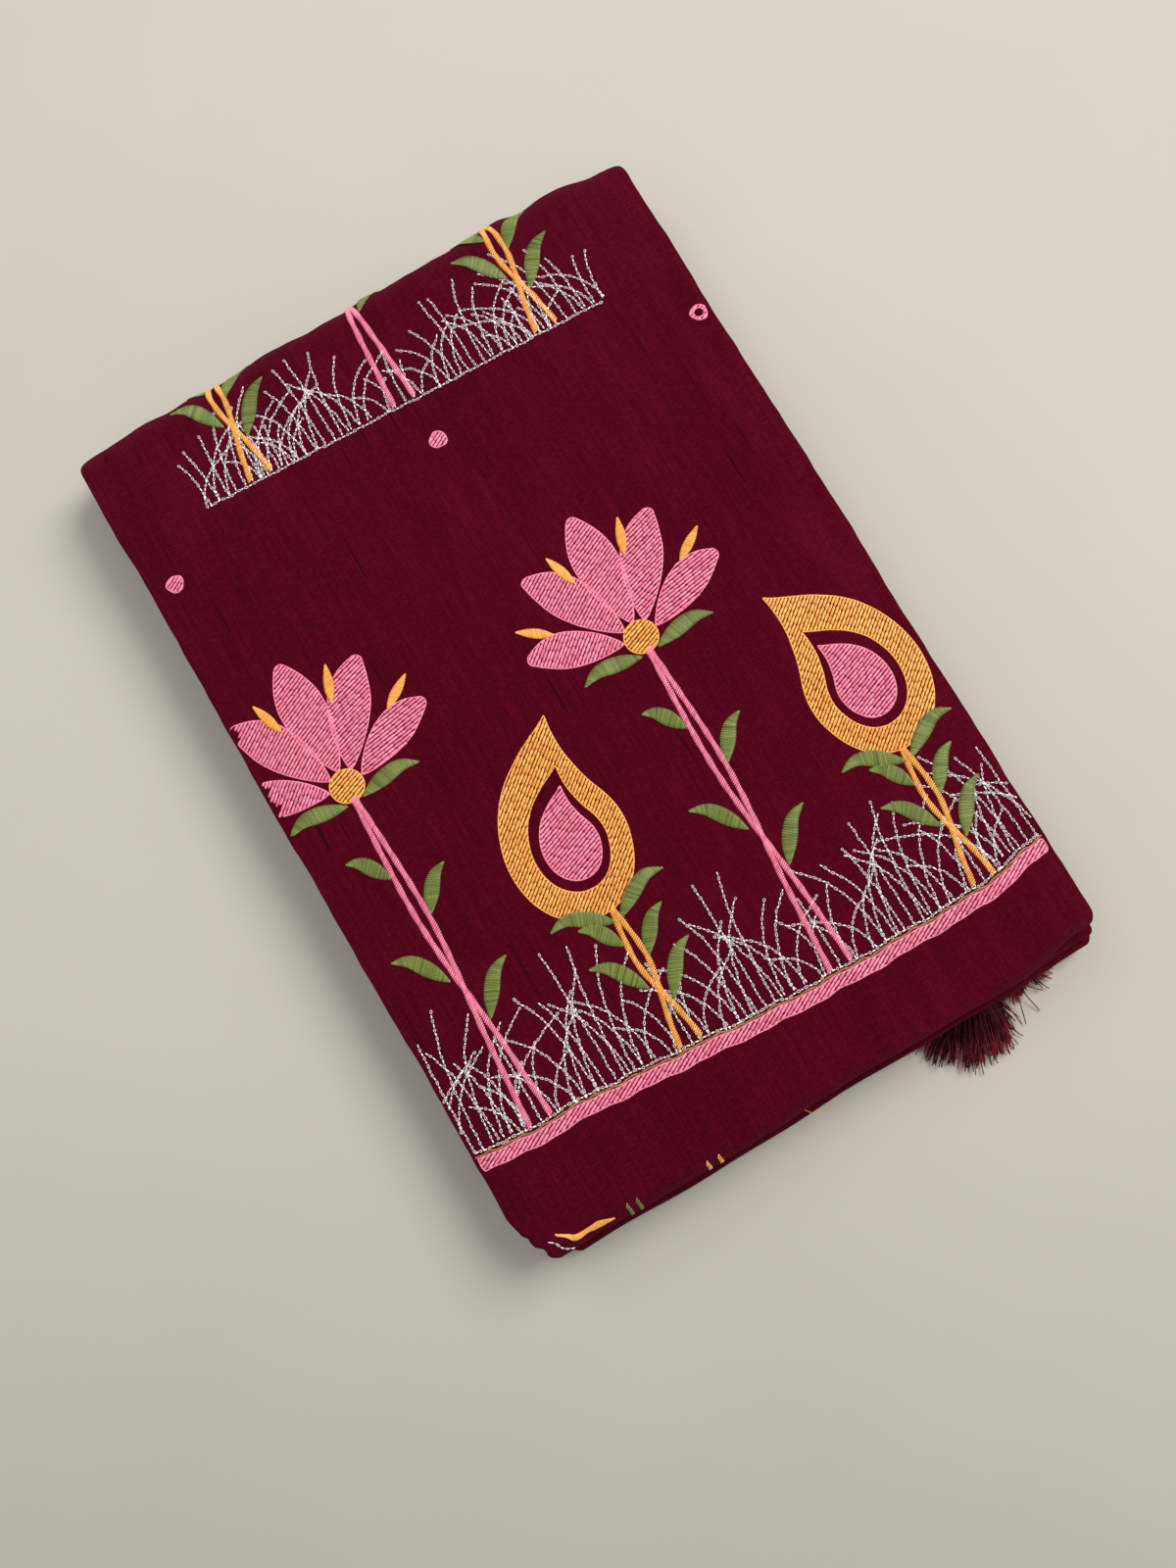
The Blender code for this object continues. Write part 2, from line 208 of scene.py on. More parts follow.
# Creases of the top face: where each starts and ends (across, along), how wide and
# how deep it is, in millimetres. A negative depth is a ridge.
creases = [
    (104, -150, 110, 150, 7.0, 0.35), (118, -176, 121, 60, 4.0, -0.25), (97, -60, 101, 175, 9.0, 0.22),
    (-118, -160, -112, 40, 6.0, 0.20), (-125, -20, -121, 170, 4.0, -0.15),
    (22, -183, 30, -142, 3.6, 1.05), (34, -184, 43, -146, 4.0, -0.85), (52, -184, 56, -152, 3.0, 0.80),
    (66, -184, 74, -145, 4.2, 1.00), (-14, -183, -8, -150, 3.4, 0.80), (-32, -184, -24, -145, 4.6, -0.85),
    (-52, -184, -49, -151, 3.2, 0.90), (-71, -183, -62, -142, 4.4, 0.85), (-90, -184, -86, -150, 3.6, -0.7),
    (88, -184, 92, -155, 3.6, -0.80), (6, -184, 14, -153, 2.8, -0.60), (108, -184, 104, -150, 4.0, 0.7),
    (-40, -95, -36, 20, 8.0, 0.36), (38, -80, 30, 60, 9.0, -0.36), (-2, 60, 6, 190, 8.0, 0.35),
    (64, 20, 58, 150, 7.0, 0.34), (-84, 40, -78, 190, 7.0, -0.34), (-62, 100, -58, 196, 5.0, 0.34),
    (20, 150, 24, 206, 4.0, 0.60), (48, 158, 45, 208, 3.4, -0.5), (-30, 155, -33, 206, 4.0, 0.6),
    (78, 150, 82, 208, 4.2, 0.55), (-96, 150, -99, 206, 4.0, 0.5), (-124, -176, -108, -186, 2.4, 0.5),
    (-132, -160, -116, -178, 2.6, 0.45), (-112, -190, -98, -178, 2.0, 0.35),
]
unevenness = {"rough": 0.00034, "fine": 0.00012, "farRoll": 0.00085}   # the silk is never quite flat
unevenA, unevenB = waves(3, 22, 90), waves(5, 40, 170)
fineA, fineB = waves(8, 5, 22), waves(9, 14, 60)
farWander = waves(13, 18, 80)


def relief(x, v):
    # Height of the creases and of the unevenness, in metres
    height = np.zeros(np.broadcast(x, v).shape)
    px, pv = x * 1000, v * 1000
    for x0, v0, x1, v1, width, depth in creases:
        length = math.hypot(x1 - x0, v1 - v0)
        ux, uv = (x1 - x0) / length, (v1 - v0) / length
        t = (px - x0) * ux + (pv - v0) * uv
        off = -(px - x0) * uv + (pv - v0) * ux + 0.24 * width * np.sin(t / length * 5 + x0)
        fade = smoothStep(t, -0.15 * length, 0.25 * length) * smoothStep(-t, -1.15 * length, -0.7 * length)
        height -= depth * 0.001 * fade * np.exp(-(off / width) ** 2)
    height += unevenness["rough"] * unevenA(px + 0.35 * pv) * unevenB(pv - 0.2 * px)
    height += unevenness["fine"] * fineA(px + 0.1 * pv) * fineB(pv + 0.6 * px)
    farther = smoothStep(v, 0.165, 0.212) * smoothStep(-v, -0.252, -0.236)
    return height + unevenness["farRoll"] * farWander(px) * farther


def spreadAcross(x, y, fold):
    # Near the corners the outer part of the cloth is drawn in
    inner, half = packet["drawnFrom"], packet["halfWidth"]
    out = np.maximum(np.abs(x) - inner, 0) / (half - inner)
    return x - np.sign(x) * out * sideInset(y, x, fold)


def onCloth(line, fold, x, v, lift, creased=True):
    # The place in metres of a point of a stretch: x across, v along, lift above its outer face
    x, v = np.broadcast_arrays(np.asarray(x, float), np.asarray(v, float))
    y, z, ny, nz = (np.interp(v, line["v"], line[key]) for key in ("y", "z", "ny", "nz"))
    h = packet["plies"] / 2 + lift
    if creased:
        h = h + relief(x, v) * smoothStep(z, 0.002, 0.014)
    across = spreadAcross(x, y, fold)
    return np.stack(settle(across, y + ny * h, np.maximum(z + nz * h, 0.0), fold["backAbove"]), -1)


def inScene(name, data):
    made = bpy.data.objects.new(name, data)
    bpy.context.scene.collection.objects.link(made)
    return made


def meshObject(name, vertices, faces=(), edges=()):
    data = bpy.data.meshes.new(name)
    data.from_pydata([tuple(p) for p in vertices], edges, faces)
    data.update()
    data.shade_smooth()
    return inScene(name, data)


def mergeDoubles(mesh):
    bmesh.ops.remove_doubles(mesh, verts=mesh.verts, dist=0.000002)


def closeEnds(mesh):
    rims = [edge for edge in mesh.edges if edge.is_boundary]
    ends = bmesh.ops.holes_fill(mesh, edges=rims, sides=0)["faces"]
    bmesh.ops.triangulate(mesh, faces=ends)


def faceOutwards(made, mend=mergeDoubles):
    mesh = bmesh.new()
    mesh.from_mesh(made.data)
    mend(mesh)
    bmesh.ops.recalc_face_normals(mesh, faces=mesh.faces)
    mesh.to_mesh(made.data)
    mesh.free()
    return made


def tubeFaces(rows, ring):
    # The faces between rows of points that each run round in a ring
    return [(i * ring + j, i * ring + k, (i + 1) * ring + k, (i + 1) * ring + j)
            for i in range(rows - 1) for j in range(ring) for k in [(j + 1) % ring]]


def steppedRows(line, rowStep):
    # Rows close together round the folds and wider apart on flat stretches
    bend = np.abs(np.gradient(np.unwrap(np.arctan2(line["nz"], line["ny"])), line["v"]))
    density = 1 / rowStep + bend * 1.6
    density = np.where(line["z"] < 0.0015, 0.25 / rowStep, density)
    total = np.concatenate([[0], np.cumsum((density[1:] + density[:-1]) / 2 * np.diff(line["v"]))])
    count = int(total[-1]) + 1
    return np.interp(np.linspace(0, total[-1], count), total, line["v"])


clothDetail = {"rowStep": 0.0022, "columnStep": 0.0019, "edgeWander": 0.00045}


def foldedCloth(name, line, fold, edgeSeed, creased):
    # One stretch as a thin closed shell. Its columns run over the outer face, round the folded
    # edge on the right, back along the inner face and round the edge on the left.
    rows = steppedRows(line, clothDetail["rowStep"])
    half, r = packet["halfWidth"], packet["plies"] / 2
    outside = np.linspace(-half + r, half - r, int(2 * half / clothDetail["columnStep"]))
    inside = np.linspace(half - r, -half + r, len(outside) // 3)
    turn = np.radians(np.linspace(90, -90, 7)[1:-1])
    back = turn[::-1]
    xs = np.concatenate([outside, half - r + r * np.cos(turn), inside, -half + r - r * np.cos(back)])
    hs = np.concatenate([np.full(len(outside), r), r * np.sin(turn), np.full(len(inside), -r),
                         r * np.sin(back)])
    right, left = (waves(seed, 0.012, 0.2) for seed in (edgeSeed, edgeSeed + 1))
    out = smoothStep(np.abs(xs), half - 0.02, half)
    table = []
    for v in rows:
        shift = np.where(xs > 0, right(v), left(v)) * clothDetail["edgeWander"]
        table.append(onCloth(line, fold, xs + shift * out, v, hs - r, creased))
    return faceOutwards(meshObject(name, np.concatenate(table), tubeFaces(len(rows), len(xs))), closeEnds)


def newTree(name, kind, inputs, outputs):
    # A node group, with the sockets that its inputs give and that its outputs take
    tree = bpy.data.node_groups.new(name, kind)
    for way, sockets in (("INPUT", inputs), ("OUTPUT", outputs)):
        for label, socket in sockets.items():
            tree.interface.new_socket(name=label, in_out=way, socket_type="NodeSocket" + socket)
    return tree, tree.nodes.new("NodeGroupInput").outputs, tree.nodes.new("NodeGroupOutput").inputs


def nodeOf(tree, kind, sockets=None, **properties):
    # A node with its properties set, and its sockets given values or links
    node = tree.nodes.new(kind)
    for key, value in properties.items():
        setattr(node, key, value)
    for key, term in (sockets or {}).items():
        if isinstance(term, bpy.types.NodeSocket):
            tree.links.new(term, node.inputs[key])
        else:
            node.inputs[key].default_value = term
    return node


def reckon(tree, operation, *terms):
    return nodeOf(tree, "ShaderNodeMath", dict(enumerate(terms)), operation=operation).outputs[0]


def ranged(tree, value, low, high):
    return nodeOf(tree, "ShaderNodeMapRange", {"Value": value, "From Min": low, "From Max": high}).outputs[0]


def blended(tree, share, start, end):
    return nodeOf(tree, "ShaderNodeMix", {0: share, 6: start, 7: end}, data_type="RGBA").outputs[2]


def noise(tree, vector, scale, detail, roughness=0.5):
    # Noise of one scale, or drawn out where the scale has three numbers
    if isinstance(scale, tuple):
        vector = nodeOf(tree, "ShaderNodeMapping", {"Vector": vector, "Scale": scale}).outputs[0]
        scale = 1.0
    sockets = {"Vector": vector, "Scale": scale, "Detail": detail, "Roughness": roughness}
    return nodeOf(tree, "ShaderNodeTexNoise", sockets).outputs["Fac"]


def newMaterial(name):
    material = bpy.data.materials.new(name)
    material.use_nodes = True
    tree = material.node_tree
    return material, tree, tree.nodes.new("ShaderNodeTexCoord").outputs["Object"]


def dress(tree, colour, finish, height=None, strength=0.0, distance=0.0):
    # What is the same all over the surface goes on the shader's own sockets
    shader = tree.nodes["Principled BSDF"]
    tree.links.new(colour, shader.inputs["Base Color"])
    for key, value in finish.items():
        shader.inputs[key].default_value = value
    if height is not None:
        bump = nodeOf(tree, "ShaderNodeBump", {"Height": height, "Strength": strength, "Distance": distance})
        tree.links.new(bump.outputs[0], shader.inputs["Normal"])


silk = {
    "dark": (0.048, 0.0007, 0.0048, 1), "light": (0.106, 0.0021, 0.0121, 1),
    "slub": (0.029, 0.0009, 0.0038, 1),
    "yarns": 2300.0,       # to the metre
    "thickYarns": (1300.0, 34.0, 300.0), "crossYarns": (330.0, 1300.0, 300.0),
    # The patches are uneven tone, partly painted soft shade and sheen; the long streaks are painted light
    # and shade of soft folds
    "slubs": (420.0, 21.0, 100.0), "patches": 14.0, "paintedFoldShade": (95.0, 14.0, 30.0),
    "weaveStrength": 0.35, "yarnStrength": 1.22,
    "slubRange": (0.715, 0.78),   # noise above this makes a slub
    "shadeRange": (1.04, 1.36),   # yarns from dark to light
    "patchAndShadeStrength": 0.80, "contrast": 0.57,
    "bump": (0.6, 0.00030),   # strength and distance
    "finish": {"Roughness": 0.48, "Specular IOR Level": 0.0, "Specular Tint": (0.50, 0.24, 0.42, 1),
               "Sheen Weight": 0.077, "Sheen Roughness": 0.6, "Sheen Tint": (0.50, 0.24, 0.42, 1)},
}


def silkWeaveGroup():
    # Plain weave with thick and thin yarns: the slubs run along the packet
    tree, start, end = newTree("silkWeave", "ShaderNodeTree",
                               {"Vector": "Vector", "Yarns per metre": "Float"},
                               {"Height": "Float", "Slub": "Float", "Shade": "Float"})
    parts = nodeOf(tree, "ShaderNodeSeparateXYZ", {"Vector": start["Vector"]}).outputs
    over = []
    for axis, strength in (("X", 1.0), ("Y", 0.8)):
        turns = reckon(tree, "MULTIPLY", parts[axis], start["Yarns per metre"])
        wave = reckon(tree, "SINE", reckon(tree, "MULTIPLY", turns, math.pi))
        over.append(reckon(tree, "MULTIPLY", reckon(tree, "ABSOLUTE", wave), strength))
    # Yarns that are thick for a while, and a few long dark slubs
    thick = noise(tree, start["Vector"], silk["thickYarns"], 3.0, 0.6)
    cross = noise(tree, start["Vector"], silk["crossYarns"], 2.0, 0.6)
    slubs = noise(tree, start["Vector"], silk["slubs"], 1.0, 0.4)
    yarn = reckon(tree, "ADD", reckon(tree, "MULTIPLY", thick, 0.90), cross)
    yarn = reckon(tree, "MULTIPLY", yarn, silk["yarnStrength"])
    woven = reckon(tree, "MULTIPLY", reckon(tree, "ADD", *over), silk["weaveStrength"])
    tree.links.new(reckon(tree, "ADD", woven, yarn), end["Height"])
    tree.links.new(ranged(tree, slubs, *silk["slubRange"]), end["Slub"])
    tree.links.new(yarn, end["Shade"])
    return tree


def silkMaterial(name, weave, darker=1.0):
    material, tree, place = newMaterial(name)
    cloth = nodeOf(tree, "ShaderNodeGroup", {"Vector": place, "Yarns per metre": silk["yarns"]},
                   node_tree=weave).outputs
    # Patches of uneven tone, partly painted soft shade and sheen, and long streaks of painted light and
    # shade where the silk lies in soft folds
    patches, paintedFoldShade = noise(tree, place, silk["patches"], 3.0), noise(tree, place, silk["paintedFoldShade"], 2.0)
    uneven = reckon(tree, "ADD", reckon(tree, "ADD", patches, paintedFoldShade), -0.5)
    yarns = ranged(tree, cloth["Shade"], *silk["shadeRange"])
    share = reckon(tree, "ADD", reckon(tree, "MULTIPLY", uneven, silk["patchAndShadeStrength"]), yarns)
    share = reckon(tree, "MULTIPLY", share, silk["contrast"])
    dark, light = (tuple(c * darker for c in silk[key][:3]) + (1,) for key in ("dark", "light"))
    colour = blended(tree, cloth["Slub"], blended(tree, share, dark, light), silk["slub"])
    dress(tree, colour, silk["finish"], cloth["Height"], *silk["bump"])
    return material


threadColours = {
    "pinkThread": ((0.74, 0.105, 0.210, 1), (1.00, 0.29, 0.43, 1)),
    "ochreThread": ((0.84, 0.265, 0.036, 1), (1.00, 0.49, 0.095, 1)),
    "greenThread": ((0.051, 0.068, 0.009, 1), (0.215, 0.26, 0.041, 1)),
    "whiteThread": ((0.90, 0.85, 0.90, 1), (1.00, 0.99, 1.00, 1)),
    "rustThread": ((0.17, 0.047, 0.015, 1), (0.43, 0.18, 0.052, 1)),
    # The tassel's dark colour is painted shade of the bunched threads; its light colour is their crimson
    "tasselThread": ((0.007, 0.0004, 0.0014, 1), (0.370, 0.022, 0.048, 1)),
}
threadFinish = {"Roughness": 0.38, "Specular IOR Level": 0.50, "Sheen Weight": 0.04}
tasselFinish = {"Roughness": 0.55, "Specular IOR Level": 0.15, "Sheen Weight": 0.0}


def threadMaterial(name):
    # Each stitch has its own shade, stored on its mesh
    material, tree, place = newMaterial(name)
    own = nodeOf(tree, "ShaderNodeAttribute", attribute_name="shade").outputs["Fac"]
    grain = noise(tree, place, 1400.0, 1.0)
    share = reckon(tree, "ADD", reckon(tree, "MULTIPLY", grain, 0.3), own)
    finish = tasselFinish if name == "tasselThread" else threadFinish
    dress(tree, blended(tree, share, *threadColours[name]), finish, grain, 0.4, 0.00008)
    return material


silkWeave = silkWeaveGroup()
outerSilk = silkMaterial("maroonSilk", silkWeave)
# The hidden layers take the same silk, darkened: painted shade on their edges inside the packet
innerSilkPaintedShade = silkMaterial("innerSilkPaintedShade", silkWeave, 0.8)
threads = {name: threadMaterial(name) for name in threadColours}
print("materials made")


def finishPiece(piece, material, replaced=()):
    piece.data.materials.clear()
    piece.data.materials.append(material)
    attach(piece, "root")
    if replaced:
        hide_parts(*replaced)
    return piece


# The stretches of silk that show
outer = outerLine()
second = nearLine("second", nearFolds["second"]["tailY"], nearFolds["third"]["tailY"])
third = nearLine("third", nearFolds["third"]["tailY"], thirdLowerTailY)
cloths = []
for name, line, fold, seed, node in (("outerSilk", outer, "upper", 11, "outer_stretch"),
                                     ("secondFoldSilk", second, "second", 21, "second_stretch"),
                                     ("thirdFoldSilk", third, "third", 31, "third_stretch")):
    cloth = foldedCloth(name, line, nearFolds[fold], seed, fold == "upper")
    cloths.append(finishPiece(cloth, outerSilk, [node]))
outerCloth, secondCloth, thirdCloth = cloths
print("silk stretches", [len(cloth.data.polygons) for cloth in cloths])

# The embroidery. Motifs are drawn in millimetres on the cloth, x across and y along it, and each
# stitch is then laid on the creased silk.
needle = {
    "rowPitch": 1.46,      # distance between the rows of a fill
    "stitchLength": 4.0,
    "threadWidth": 1.30,
    "threadThickness": 0.30,
    "edgeStitch": (0.72, 0.24),   # width and thickness of the running stitch round a fill
    "satinWidth": 0.84,
    "satinStep": 0.66,
    "stemStep": 1.04,
    "stemStitch": (0.8904, 0.34),
    "chainLink": 2.2,
    "chainWidth": 1.02,
    "fillAngle": 27,
    "onTop": 0.3,          # how much higher the thread lies that crosses other threads
    "plumpness": 1.0,      # makes all stitches wider and thicker alike
    "seed": 42,
}
dice = np.random.default_rng(needle["seed"])
# For each thread, its stitches (x0, y0, x1, y1, width, thickness, lift) and its chain links
stitchBook, chainBook = {}, {}


def noteStitches(book, thread, segments, width=None, thickness=None, lift=0.02):
    width = width or needle["threadWidth"]
    thickness = thickness or needle["threadThickness"]
    for x0, y0, x1, y1 in segments:
        book.setdefault(thread, []).append((x0, y0, x1, y1, width, thickness, lift))


def smoothLine(points, step=needle["satinStep"]):
    # A curve through the points, with a point about every step millimetres
    p = np.array([points[0]] + list(points) + [points[-1]], float)
    out = []
    for a, b, c, d in zip(p, p[1:], p[2:], p[3:]):
        for t in np.linspace(0, 1, 24, endpoint=False):
            out.append(0.5 * (2 * b + (c - a) * t + (2 * a - 5 * b + 4 * c - d) * t * t
                              + (3 * b - a - 3 * c + d) * t ** 3))
    out.append(p[-1])
    out = np.array(out)
    run = np.concatenate([[0], np.cumsum(np.hypot(*np.diff(out, axis=0).T))])
    spots = np.linspace(0, run[-1], max(2, int(run[-1] / step) + 1))
    return np.stack([np.interp(spots, run, out[:, 0]), np.interp(spots, run, out[:, 1])], 1)


def sidewaysOf(spine):
    slope = np.gradient(spine, axis=0)
    slope /= np.maximum(np.linalg.norm(slope, axis=1), 1e-9)[:, None]
    return slope, np.stack([-slope[:, 1], slope[:, 0]], 1)


def outlineOf(spine, halfWidths):
    across = sidewaysOf(spine)[1] * halfWidths[:, None]
    return np.concatenate([spine + across, (spine - across)[::-1]])


def fillRows(outline, angle, *holes):
    # Rows of staggered stitches that fill an outline at an angle in degrees
    turn = math.radians(angle)
    c, s = math.cos(turn), math.sin(turn)
    loops = [np.asarray(loop) @ np.array([[c, -s], [s, c]]) for loop in (outline, *holes)]
    low, high = loops[0][:, 1].min(), loops[0][:, 1].max()
    segments = []
    for row in range(int((high - low) / needle["rowPitch"]) + 1):
        level = low + (row + 0.5) * needle["rowPitch"]
        cuts = []
        for loop in loops:
            after = np.roll(loop, -1, axis=0)
            crossing = (loop[:, 1] > level) != (after[:, 1] > level)
            a, b = loop[crossing], after[crossing]
            cuts += list(a[:, 0] + (level - a[:, 1]) / (b[:, 1] - a[:, 1]) * (b[:, 0] - a[:, 0]))
        cuts.sort()
        for left, right in zip(cuts[::2], cuts[1::2]):
            length = needle["stitchLength"]
            steps = length * dice.uniform(0.65, 1.35, int((right - left) / length) * 2 + 3)
            marks = left - dice.uniform(0, length) + np.cumsum(steps)
            marks = [left] + [m for m in marks if left + 0.9 < m < right - 0.9] + [right]
            for x0, x1 in zip(marks, marks[1:]):
                shift = dice.uniform(-0.10, 0.10, 2)
                ends = np.array([[x0 - 0.22, level + shift[0]], [x1 + 0.22, level + shift[1]]])
                segments.append(tuple((ends @ np.array([[c, s], [-s, c]])).ravel()))
    return segments


def fill(thread, outline, angle, *holes, lift=0.02):
    # A filled shape, its edges held by a running stitch
    noteStitches(stitchBook, thread, fillRows(outline, angle, *holes), lift=lift)
    for loop in (outline, *holes):
        edge = smoothLine([tuple(p) for p in loop] + [tuple(loop[0])], 2.0)
        runs = [(*(p - 0.08 * (q - p)), *(q + 0.08 * (q - p))) for p, q in zip(edge, edge[1:])]
        noteStitches(stitchBook, thread, runs, *needle["edgeStitch"], lift)


def satinAcross(spine, halfWidths, slant=0.6):
    # Stitches side by side across a narrow shape, a little slanted
    slope, across = sidewaysOf(spine)
    a = spine + across * halfWidths[:, None] - slope * slant
    b = spine - across * halfWidths[:, None] + slope * slant
    return [(p[0], p[1], q[0], q[1]) for p, q, w in zip(a, b, halfWidths) if w > 0.15]


def swell(count, power=0.8, peak=0.45):
    # A leaf's width along its length, from point to point
    t = np.linspace(0, 1, count)
    u = np.where(t < peak, t / peak / 2, 0.5 + (t - peak) / (1 - peak) / 2)
    return np.sin(math.pi * u) ** power


def outFrom(place, angle, distance):
    turn = math.radians(angle)
    return place[0] + distance * math.sin(turn), place[1] + distance * math.cos(turn)


def at(place, angle, points):
    turn = math.radians(angle)
    c, s = math.cos(turn), math.sin(turn)
    return [(place[0] + c * x - s * y, place[1] + s * x + c * y) for x, y in points]


def leaf(thread, place, angle, length, width, bend=0.12, narrow=True, lift=0.02):
    # A leaf or petal that grows from place, angle in degrees from straight up
    spine = smoothLine(at(place, angle, [(0, 0), (bend * length * 0.6, 0.35 * length),
                                         (bend * length, 0.7 * length), (bend * length * 0.7, length)]))
    widths = swell(len(spine), 0.8, 0.45 if narrow else 0.58) * width / 2
    if narrow:
        noteStitches(stitchBook, thread, satinAcross(spine, widths), needle["satinWidth"], 0.26, lift)
    else:
        fill(thread, outlineOf(spine[::3], widths[::3]), 24 + 0.2 * angle, lift=lift)


def stem(thread, points, width=2.6, lift=0.02):
    spine = smoothLine(points, needle["stemStep"])
    widths = np.full(len(spine), width / 2) * (1 + 0.12 * np.sin(np.arange(len(spine)) * 0.6))
    noteStitches(stitchBook, thread, satinAcross(spine, widths, 0.9), *needle["stemStitch"], lift)


def lotus(thread, accent, place, size):
    # Petals spread like a fan over a small cup
    for angle, length, width in ((-74, 0.78, 0.25), (74, 0.78, 0.25), (-37, 0.92, 0.29), (37, 0.92, 0.29),
                                 (0, 1.0, 0.31)):
        leaf(thread, outFrom(place, angle, 0.13 * size), -angle, length * size * 0.87, width * size,
             -0.10 * np.sign(angle), False)
    for angle in (-56, -19, 19, 56):
        leaf(accent, outFrom(place, angle, 0.60 * size), -angle, 0.27 * size, 0.075 * size, 0,
             lift=needle["onTop"])
    x, y = place
    cup = [(x + 0.12 * size * math.cos(a), y + 0.02 * size + 0.115 * size * math.sin(a))
           for a in np.linspace(0, 6.2, 30)]
    fill(accent, np.array(cup), 20, lift=0.10)
    for side in (-1, 1):
        leaf("greenThread", (x + side * 0.06 * size, y - 0.10 * size), -side * 97, 0.44 * size, 0.12 * size,
             -0.22 * side, lift=needle["onTop"])


def mangoOutline(place, size, hook, shrink=1.0):
    # A mango shape: round below, its point leaning to one side
    spine = smoothLine([(0, 0), (-0.03, 0.30), (-0.01, 0.58), (0.07, 0.80), (0.20, 1.0)], 0.012)
    t = np.linspace(0, 1, len(spine))
    body = np.sqrt(np.maximum(1 - (1 - t / 0.36) ** 2, 0))
    taper = np.maximum(np.cos(math.pi / 2 * (t - 0.36) / 0.64), 0) ** 1.25
    outline = outlineOf(spine, np.where(t < 0.36, body, taper) * 0.31) - (0, 0.36)
    return outline * shrink * size * (hook, 1) + np.array(place) + (0, 0.36 * size)


def mango(thread, accent, place, size, hook):
    hole, inner = mangoOutline(place, size, hook, 0.62), mangoOutline(place, size, hook, 0.46)
    fill(thread, mangoOutline(place, size, hook), 38, hole)
    fill(accent, inner, 20)
    for side in (-1, 1):
        leaf("greenThread", (place[0] - side, place[1] - 0.06 * size), side * 82, 0.32 * size, 0.085 * size,
             0.3 * side, lift=needle["onTop"])


plants = {
    "lotusStem": 156.0, "lotusSize": 63.0, "mangoStem": 64.0, "mangoSize": 86.0,
    "kinds": (("lotus", "pinkThread", "ochreThread"), ("mango", "ochreThread", "pinkThread")),
    "nearX": (-105.0, -35.0, 35.0, 105.0), "farX": (-70.0, 0.0, 70.0),
    "leaves": ((0.30, 1, 27), (0.44, -1, 26), (0.62, 1, 23), (0.76, -1, 20)),   # how far up, side, length
    "farSlant": -0.045, "farMiddleY": 159.8, "farHalfWidth": 97.0,
}


def plant(index, x, base, hook):
    # Two slender stems cross and carry the bloom, with leaves on both sides
    kind, thread, accent = plants["kinds"][index % 2]
    height = plants[kind + "Stem"]
    for side, lift in ((1, 0.12), (-1, needle["onTop"])):
        stem(thread, [(x + 5 * side, base + 1), (x + 2.4 * side, base + 0.25 * height),
                      (x - 2.6 * side, base + 0.62 * height), (x - 0.4 * side, base + height)], lift=lift)
    for level, side, length in plants["leaves"]:
        leaf("greenThread", (x + 3.4 * side, base + level * height), -52 * side, length, 7.2, -0.22 * side,
             lift=needle["onTop"])
    if kind == "lotus":
        lotus(thread, accent, (x, base + height + 5), plants["lotusSize"])
    else:
        mango(thread, accent, (x, base + height), plants["mangoSize"], hook)


# The pink band bows towards the near end
bandCurve = smoothLine([(-140, -136.8), (-113, -140.3), (-95, -140.2), (-76, -141.0), (-57, -142.8),
                        (-39, -144.2), (-20, -145.9), (-2, -147.6), (17, -148.9), (54, -149.7),
                        (73, -149.8), (92, -149.6), (110, -148.6), (128, -145.4), (140, -143.4)])
band = {"ends": 135.6, "halfWidth": 2.7, "rustAt": 3.6, "chainAt": 5.1, "rowAt": 5.2, "chainWidth": 1.1}


def bandMiddleY(x):
    return np.interp(x, bandCurve[:, 0], bandCurve[:, 1])


# Chain stitch by hand: some links are open loops, and some are pulled tight into one thick thread
chainLook = {
    "gap": 0.10,
    "moreOpen": 0.15,      # how many of the links that would be tight are open
    "open": (0.95, 1.15, 0.30, 0.04),    # least and most width, thickness, lift
    "tight": (0.55, 0.70, 0.30, 0.08),
}


def chain(thread, points, width=needle["chainWidth"], wander=0.20):
    line = smoothLine(points, needle["chainLink"] * 0.86)
    line = line + dice.normal(0, wander, line.shape).clip(-0.6, 0.6)
    for i, (p, q) in enumerate(zip(line, line[1:])):
        gap = (q - p) * chainLook["gap"]
        book, kind = stitchBook, "tight"
        if i % 2 or dice.uniform() < chainLook["moreOpen"]:
            book, kind, gap = chainBook, "open", gap / 3
        least, most, thickness, lift = chainLook[kind]
        wide = width * dice.uniform(least, most)
        noteStitches(book, thread, [(*(p + gap), *(q - gap))], wide, thickness, lift)


sprays = {
    "fan": (4.4, 28.0, 0.42),     # between the stems, how far the outer ones lean, how much lower they are
    "inside": (5.8, 19.0, 0.34),  # the same for the lower stems, which lean inwards
    # places across, height, stems on each side, how far the outer ones lean inwards, and beyond which place
    "near": (((-131.0, -70.0, 0.0, 70.0, 130.0), 57, 4, 10.0, 100), (plants["nearX"], 36, 2, 0.0, 0)),
    "far": (((-78.0, -35.0, 35.0, 80.0), 40, 4, 12.0, 60), ((-62.0, 0.0, 62.0), 25, 2, 0.0, 0)),
}


def fountain(x, base, tallest, count, leaning):
    # A symmetrical spray of chain stitch
    apart, lean, lower = sprays["fan"]
    stems = [(apart * k, lean * k / count, 1 - lower * (abs(k) / count) ** 1.4)
             for k in range(-count, count + 1)]
    apart, lean, lower = sprays["inside"]
    stems += [(side * apart * (k + 0.3), -lean * side, 0.86 - lower * k / count)
              for k in range(1, count) for side in (-1, 1)]
    for root, lean, share in stems:
        tall = tallest * share * dice.uniform(0.80, 1.10)
        over = lean * tallest / 60 + leaning + dice.uniform(-3, 3)
        start = x + root + dice.uniform(-0.7, 0.7)
        chain("whiteThread", [(start, base), (start + 0.12 * over, base + 0.35 * tall),
                              (start + 0.44 * over, base + 0.72 * tall), (start + over, base + tall)])


